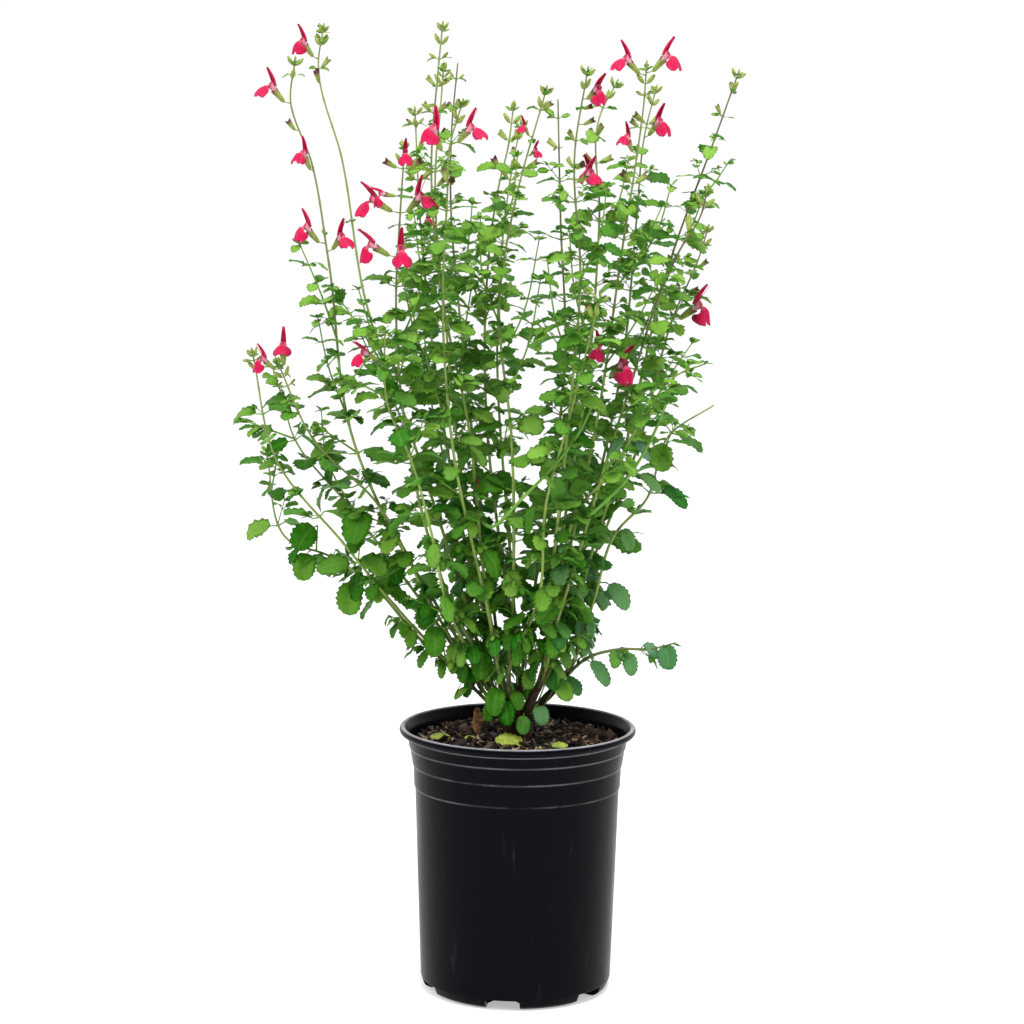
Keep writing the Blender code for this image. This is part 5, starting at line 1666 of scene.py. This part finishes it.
class SALVIA_OT_soil(bpy.types.Operator):
    """Add the bark mix, its chips and the fallen leaves"""

    bl_idname = "salvia.soil"
    bl_label = "Soil"

    def execute(self, context):
        settings = context.scene.salvia_soil
        body, chips = Surface(), Surface()
        add_soil_body(body)
        body.piece("bark_mix", soil_material("damp_bark", settings), "bark_mix", "soil")
        add_chips(chips)
        chips.piece("bark_chips", chip_material("bark_pieces", settings), "bark_mix")
        look = fallen_material("yellow_leaf", context.scene.salvia_plant)
        for name, place in FALLEN_LEAVES.items():
            leaf = Surface()
            add_fallen(leaf, *place)
            leaf.piece(f"dropped_{name[12:]}", look, "fallen_yellow", name)
        more = Surface()
        for place in MORE_FALLEN:
            add_fallen(more, *place)
        more.piece("dropped_more", look, "fallen_yellow")
        dry = Surface()
        add_fallen(dry, *DRY_LEAF)
        dry.piece("dropped_dry", dry_material("dry_leaf", context.scene.salvia_plant), "fallen_yellow")
        return {"FINISHED"}


class SALVIA_OT_crown(bpy.types.Operator):
    """Add the woody crown"""

    bl_idname = "salvia.crown"
    bl_label = "Crown"

    def execute(self, context):
        surface = Surface()
        add_crown(surface)
        look = wood_material("flaking_bark", context.scene.salvia_plant)
        surface.piece("crown", look, "brown_wood", "woody_crown")
        return {"FINISHED"}


class SALVIA_OT_stems(bpy.types.Operator):
    """Add the stem of every shoot"""

    bl_idname = "salvia.stems"
    bl_label = "Stems"

    def execute(self, context):
        look = stem_material("stem", context.scene.salvia_plant)
        for index, (name, path) in enumerate(shoot_paths().items()):
            stem = add_stem(name, path, leaf_pairs(index, name, path))
            stem.piece(f"stem_{name}", look, "leaf_green", f"shoot_{name}")
        return {"FINISHED"}


class SALVIA_OT_leaves(bpy.types.Operator):
    """Add the leaves of every shoot and those round the crown"""

    bl_idname = "salvia.leaves"
    bl_label = "Leaves"

    def execute(self, context):
        look = leaf_material("leaf", context.scene.salvia_plant)
        paths = shoot_paths()
        for index, (name, path) in enumerate(paths.items()):
            places = [path.distance_at_height(place[1]) for place in FLOWERS.values() if place[0] == name]
            leaves = add_shoot_leaves(index, name, path, places)
            add_twigs(leaves, name, path)
            leaves.piece(f"leaves_{name}", look, "leaf_green")
        low = Surface()
        add_low_leaves(low, paths.values())
        low.piece("leaves_low", look, "leaf_green")
        return {"FINISHED"}


class SALVIA_OT_flowers(bpy.types.Operator):
    """Add the flowers, calyxes and buds of every shoot"""

    bl_idname = "salvia.flowers"
    bl_label = "Flowers"

    def execute(self, context):
        calyx_look = calyx_material("calyx", context.scene.salvia_flower)
        petal_look = petal_material("petal", context.scene.salvia_flower)
        for index, (name, path) in enumerate(shoot_paths().items()):
            mine = [item for item in FLOWERS.items() if item[1][0] == name]
            more = [place for place in MORE_FLOWERS if place[0] == name]
            places = [place for _, place in mine] + more
            calyxes = Surface()
            stands = [path.distance_at_height(place[1]) for place in places]
            add_bare_calyxes(calyxes, index, name, path, stands)
            for k, (flower_name, place) in enumerate(mine):
                petals = Surface()
                add_flower_parts(calyxes, petals, place, path, index * 10 + k)
                petals.piece(f"petals_{flower_name[7:]}", petal_look, "crimson_petal", flower_name)
            petals = Surface()
            for k, place in enumerate(more):
                own = petals if place[4] else None
                add_flower_parts(calyxes, own, place, path, index * 10 + k + 5)
            if petals.count:
                petals.piece(f"petals_more_{name}", petal_look, "crimson_petal")
            if calyxes.count:
                calyxes.piece(f"calyxes_{name}", calyx_look, "leaf_green")
        return {"FINISHED"}


class SALVIA_OT_stage(bpy.types.Operator):
    """Add the floor, the lights and the camera"""

    bl_idname = "salvia.stage"
    bl_label = "Stage"

    def execute(self, context):
        settings = context.scene.salvia_stage
        add_floor(settings)
        add_sky(settings)
        for name, (place, size, glint) in LIGHTS.items():
            add_light(name, place, size, getattr(settings, name), glint)
        add_camera(settings)
        context.scene.view_settings.view_transform = "Standard"
        return {"FINISHED"}


# The stage, in metres and degrees. A light has its place, its size and whether it glints.
LIGHTS = {
    "key": ((-1.6, -1.9, 2.3), 1.5, False),
    "fill": ((1.9, -1.3, 1.5), 1.4, False),
    "top": ((0.15, -0.9, 2.3), 0.5, True),
}
FLOOR_REACH = 6
AIM_HEIGHT = 0.38
CAMERA_X = -0.00535
CAMERA_TIP = 7.75
CAMERA_ROLL = 0.54
WHITE = (1.0, 1.0, 1.0)
FRONT_SKY = (0.22, 0.22, 0.23)
FLOOR_GRAIN = (0.46, 0.46, 0.46)


def add_floor(settings):
    """A wide pale floor that lights itself a little, so that only a soft shadow shows on it."""
    mesh = bpy.data.meshes.new("floor")
    corners = [(x * FLOOR_REACH, y * FLOOR_REACH, 0) for x, y in ((-1, -1), (1, -1), (1, 1), (-1, 1))]
    mesh.from_pydata(corners, [], [(0, 1, 2, 3)])
    floor = bpy.data.objects.new("floor", mesh)
    bpy.context.scene.collection.objects.link(floor)
    look = Look("pale_floor", 0.7, 0.2)
    look.set("Base Color", look.mixed(look.times(look.noise(60.0), 0.05), settings.floor, FLOOR_GRAIN))
    look.set("Emission Color", (1.0, 1.0, 1.0, 1.0))
    look.set("Emission Strength", settings.glow)
    mesh.materials.append(look.material)


def add_sky(settings):
    """Soft light from all round, dimmer from the front so that the black pot stays dark in
    its middle. The sky that is seen is plain white."""
    world = bpy.data.worlds.new("studio")
    bpy.context.scene.world = world
    world.use_nodes = True
    sky = Shading(world.node_tree)
    _, toward_back, upward = sky.split(sky.coordinates("Generated"))
    bright = sky.maths("MAXIMUM", sky.ranged(toward_back, -0.75, 0.15), sky.ranged(upward, 0.2, 0.8))
    shade = sky.mixed(bright, FRONT_SKY, WHITE)
    seen = sky.node("ShaderNodeLightPath").outputs["Is Camera Ray"]
    light = sky.tree.nodes["Background"]
    sky.fill(light.inputs["Color"], sky.mixed(seen, shade, WHITE))
    sky.fill(light.inputs["Strength"], settings.sky)


def add_light(name, place, size, power, glint):
    """A soft square light that points at the middle of the plant."""
    data = bpy.data.lights.new(name, "AREA")
    data.energy, data.size = power, size
    light = bpy.data.objects.new(name, data)
    bpy.context.scene.collection.objects.link(light)
    away = np.array(place) - [0, 0, AIM_HEIGHT]
    light.location = place
    tip = math.acos(away[2] / np.linalg.norm(away))
    light.rotation_euler = (tip, 0, math.atan2(away[1], away[0]) + math.pi / 2)
    light.visible_glossy = glint


def add_camera(settings):
    """The photograph's view: a long lens 2 m away, tipped down and rolled a little."""
    data = bpy.data.cameras.new("camera")
    data.lens, data.sensor_width = settings.lens, 36.0
    camera = bpy.data.objects.new("camera", data)
    bpy.context.scene.collection.objects.link(camera)
    camera.location = (CAMERA_X, -settings.distance, settings.height)
    camera.rotation_mode = "ZXY"
    camera.rotation_euler = (math.radians(90 - CAMERA_TIP), 0, 0)
    camera.rotation_mode = "QUATERNION"
    tipped = camera.rotation_euler.to_quaternion()
    roll = math.radians(CAMERA_ROLL) / 2
    camera.rotation_quaternion = tipped @ type(tipped)((math.cos(roll), 0, 0, math.sin(roll)))
    bpy.context.scene.camera = camera


class SALVIA_PT_panel(bpy.types.Panel):
    """The pieces and their settings"""

    bl_label = "Salvia"
    bl_idname = "SALVIA_PT_panel"
    bl_space_type = "VIEW_3D"
    bl_region_type = "UI"
    bl_category = "Salvia"

    def draw(self, context):
        for operator in OPERATORS:
            self.layout.operator(operator.bl_idname)
        for group in GROUPS:
            box = self.layout.box()
            for key in GROUPS[group].__annotations__:
                box.prop(getattr(context.scene, group), key)


GROUPS = {
    "salvia_pot": SalviaPot,
    "salvia_soil": SalviaSoil,
    "salvia_plant": SalviaPlant,
    "salvia_flower": SalviaFlower,
    "salvia_stage": SalviaStage,
}
OPERATORS = (
    SALVIA_OT_pot,
    SALVIA_OT_soil,
    SALVIA_OT_crown,
    SALVIA_OT_stems,
    SALVIA_OT_leaves,
    SALVIA_OT_flowers,
    SALVIA_OT_stage,
)
CLASSES = (*GROUPS.values(), *OPERATORS, SALVIA_PT_panel)


def register():
    """Makes the classes known to Blender."""
    for made in CLASSES:
        bpy.utils.register_class(made)
    for name, group in GROUPS.items():
        setattr(bpy.types.Scene, name, PointerProperty(type=group))


def unregister():
    """Takes the classes out again."""
    for name in GROUPS:
        delattr(bpy.types.Scene, name)
    for made in reversed(CLASSES):
        bpy.utils.unregister_class(made)


def main():
    """Builds every piece in turn."""
    register()
    bpy.ops.salvia.pot()
    bpy.ops.salvia.soil()
    bpy.ops.salvia.crown()
    bpy.ops.salvia.stems()
    bpy.ops.salvia.leaves()
    bpy.ops.salvia.flowers()
    bpy.ops.salvia.stage()
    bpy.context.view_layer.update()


if __name__ == "__main__":
    main()
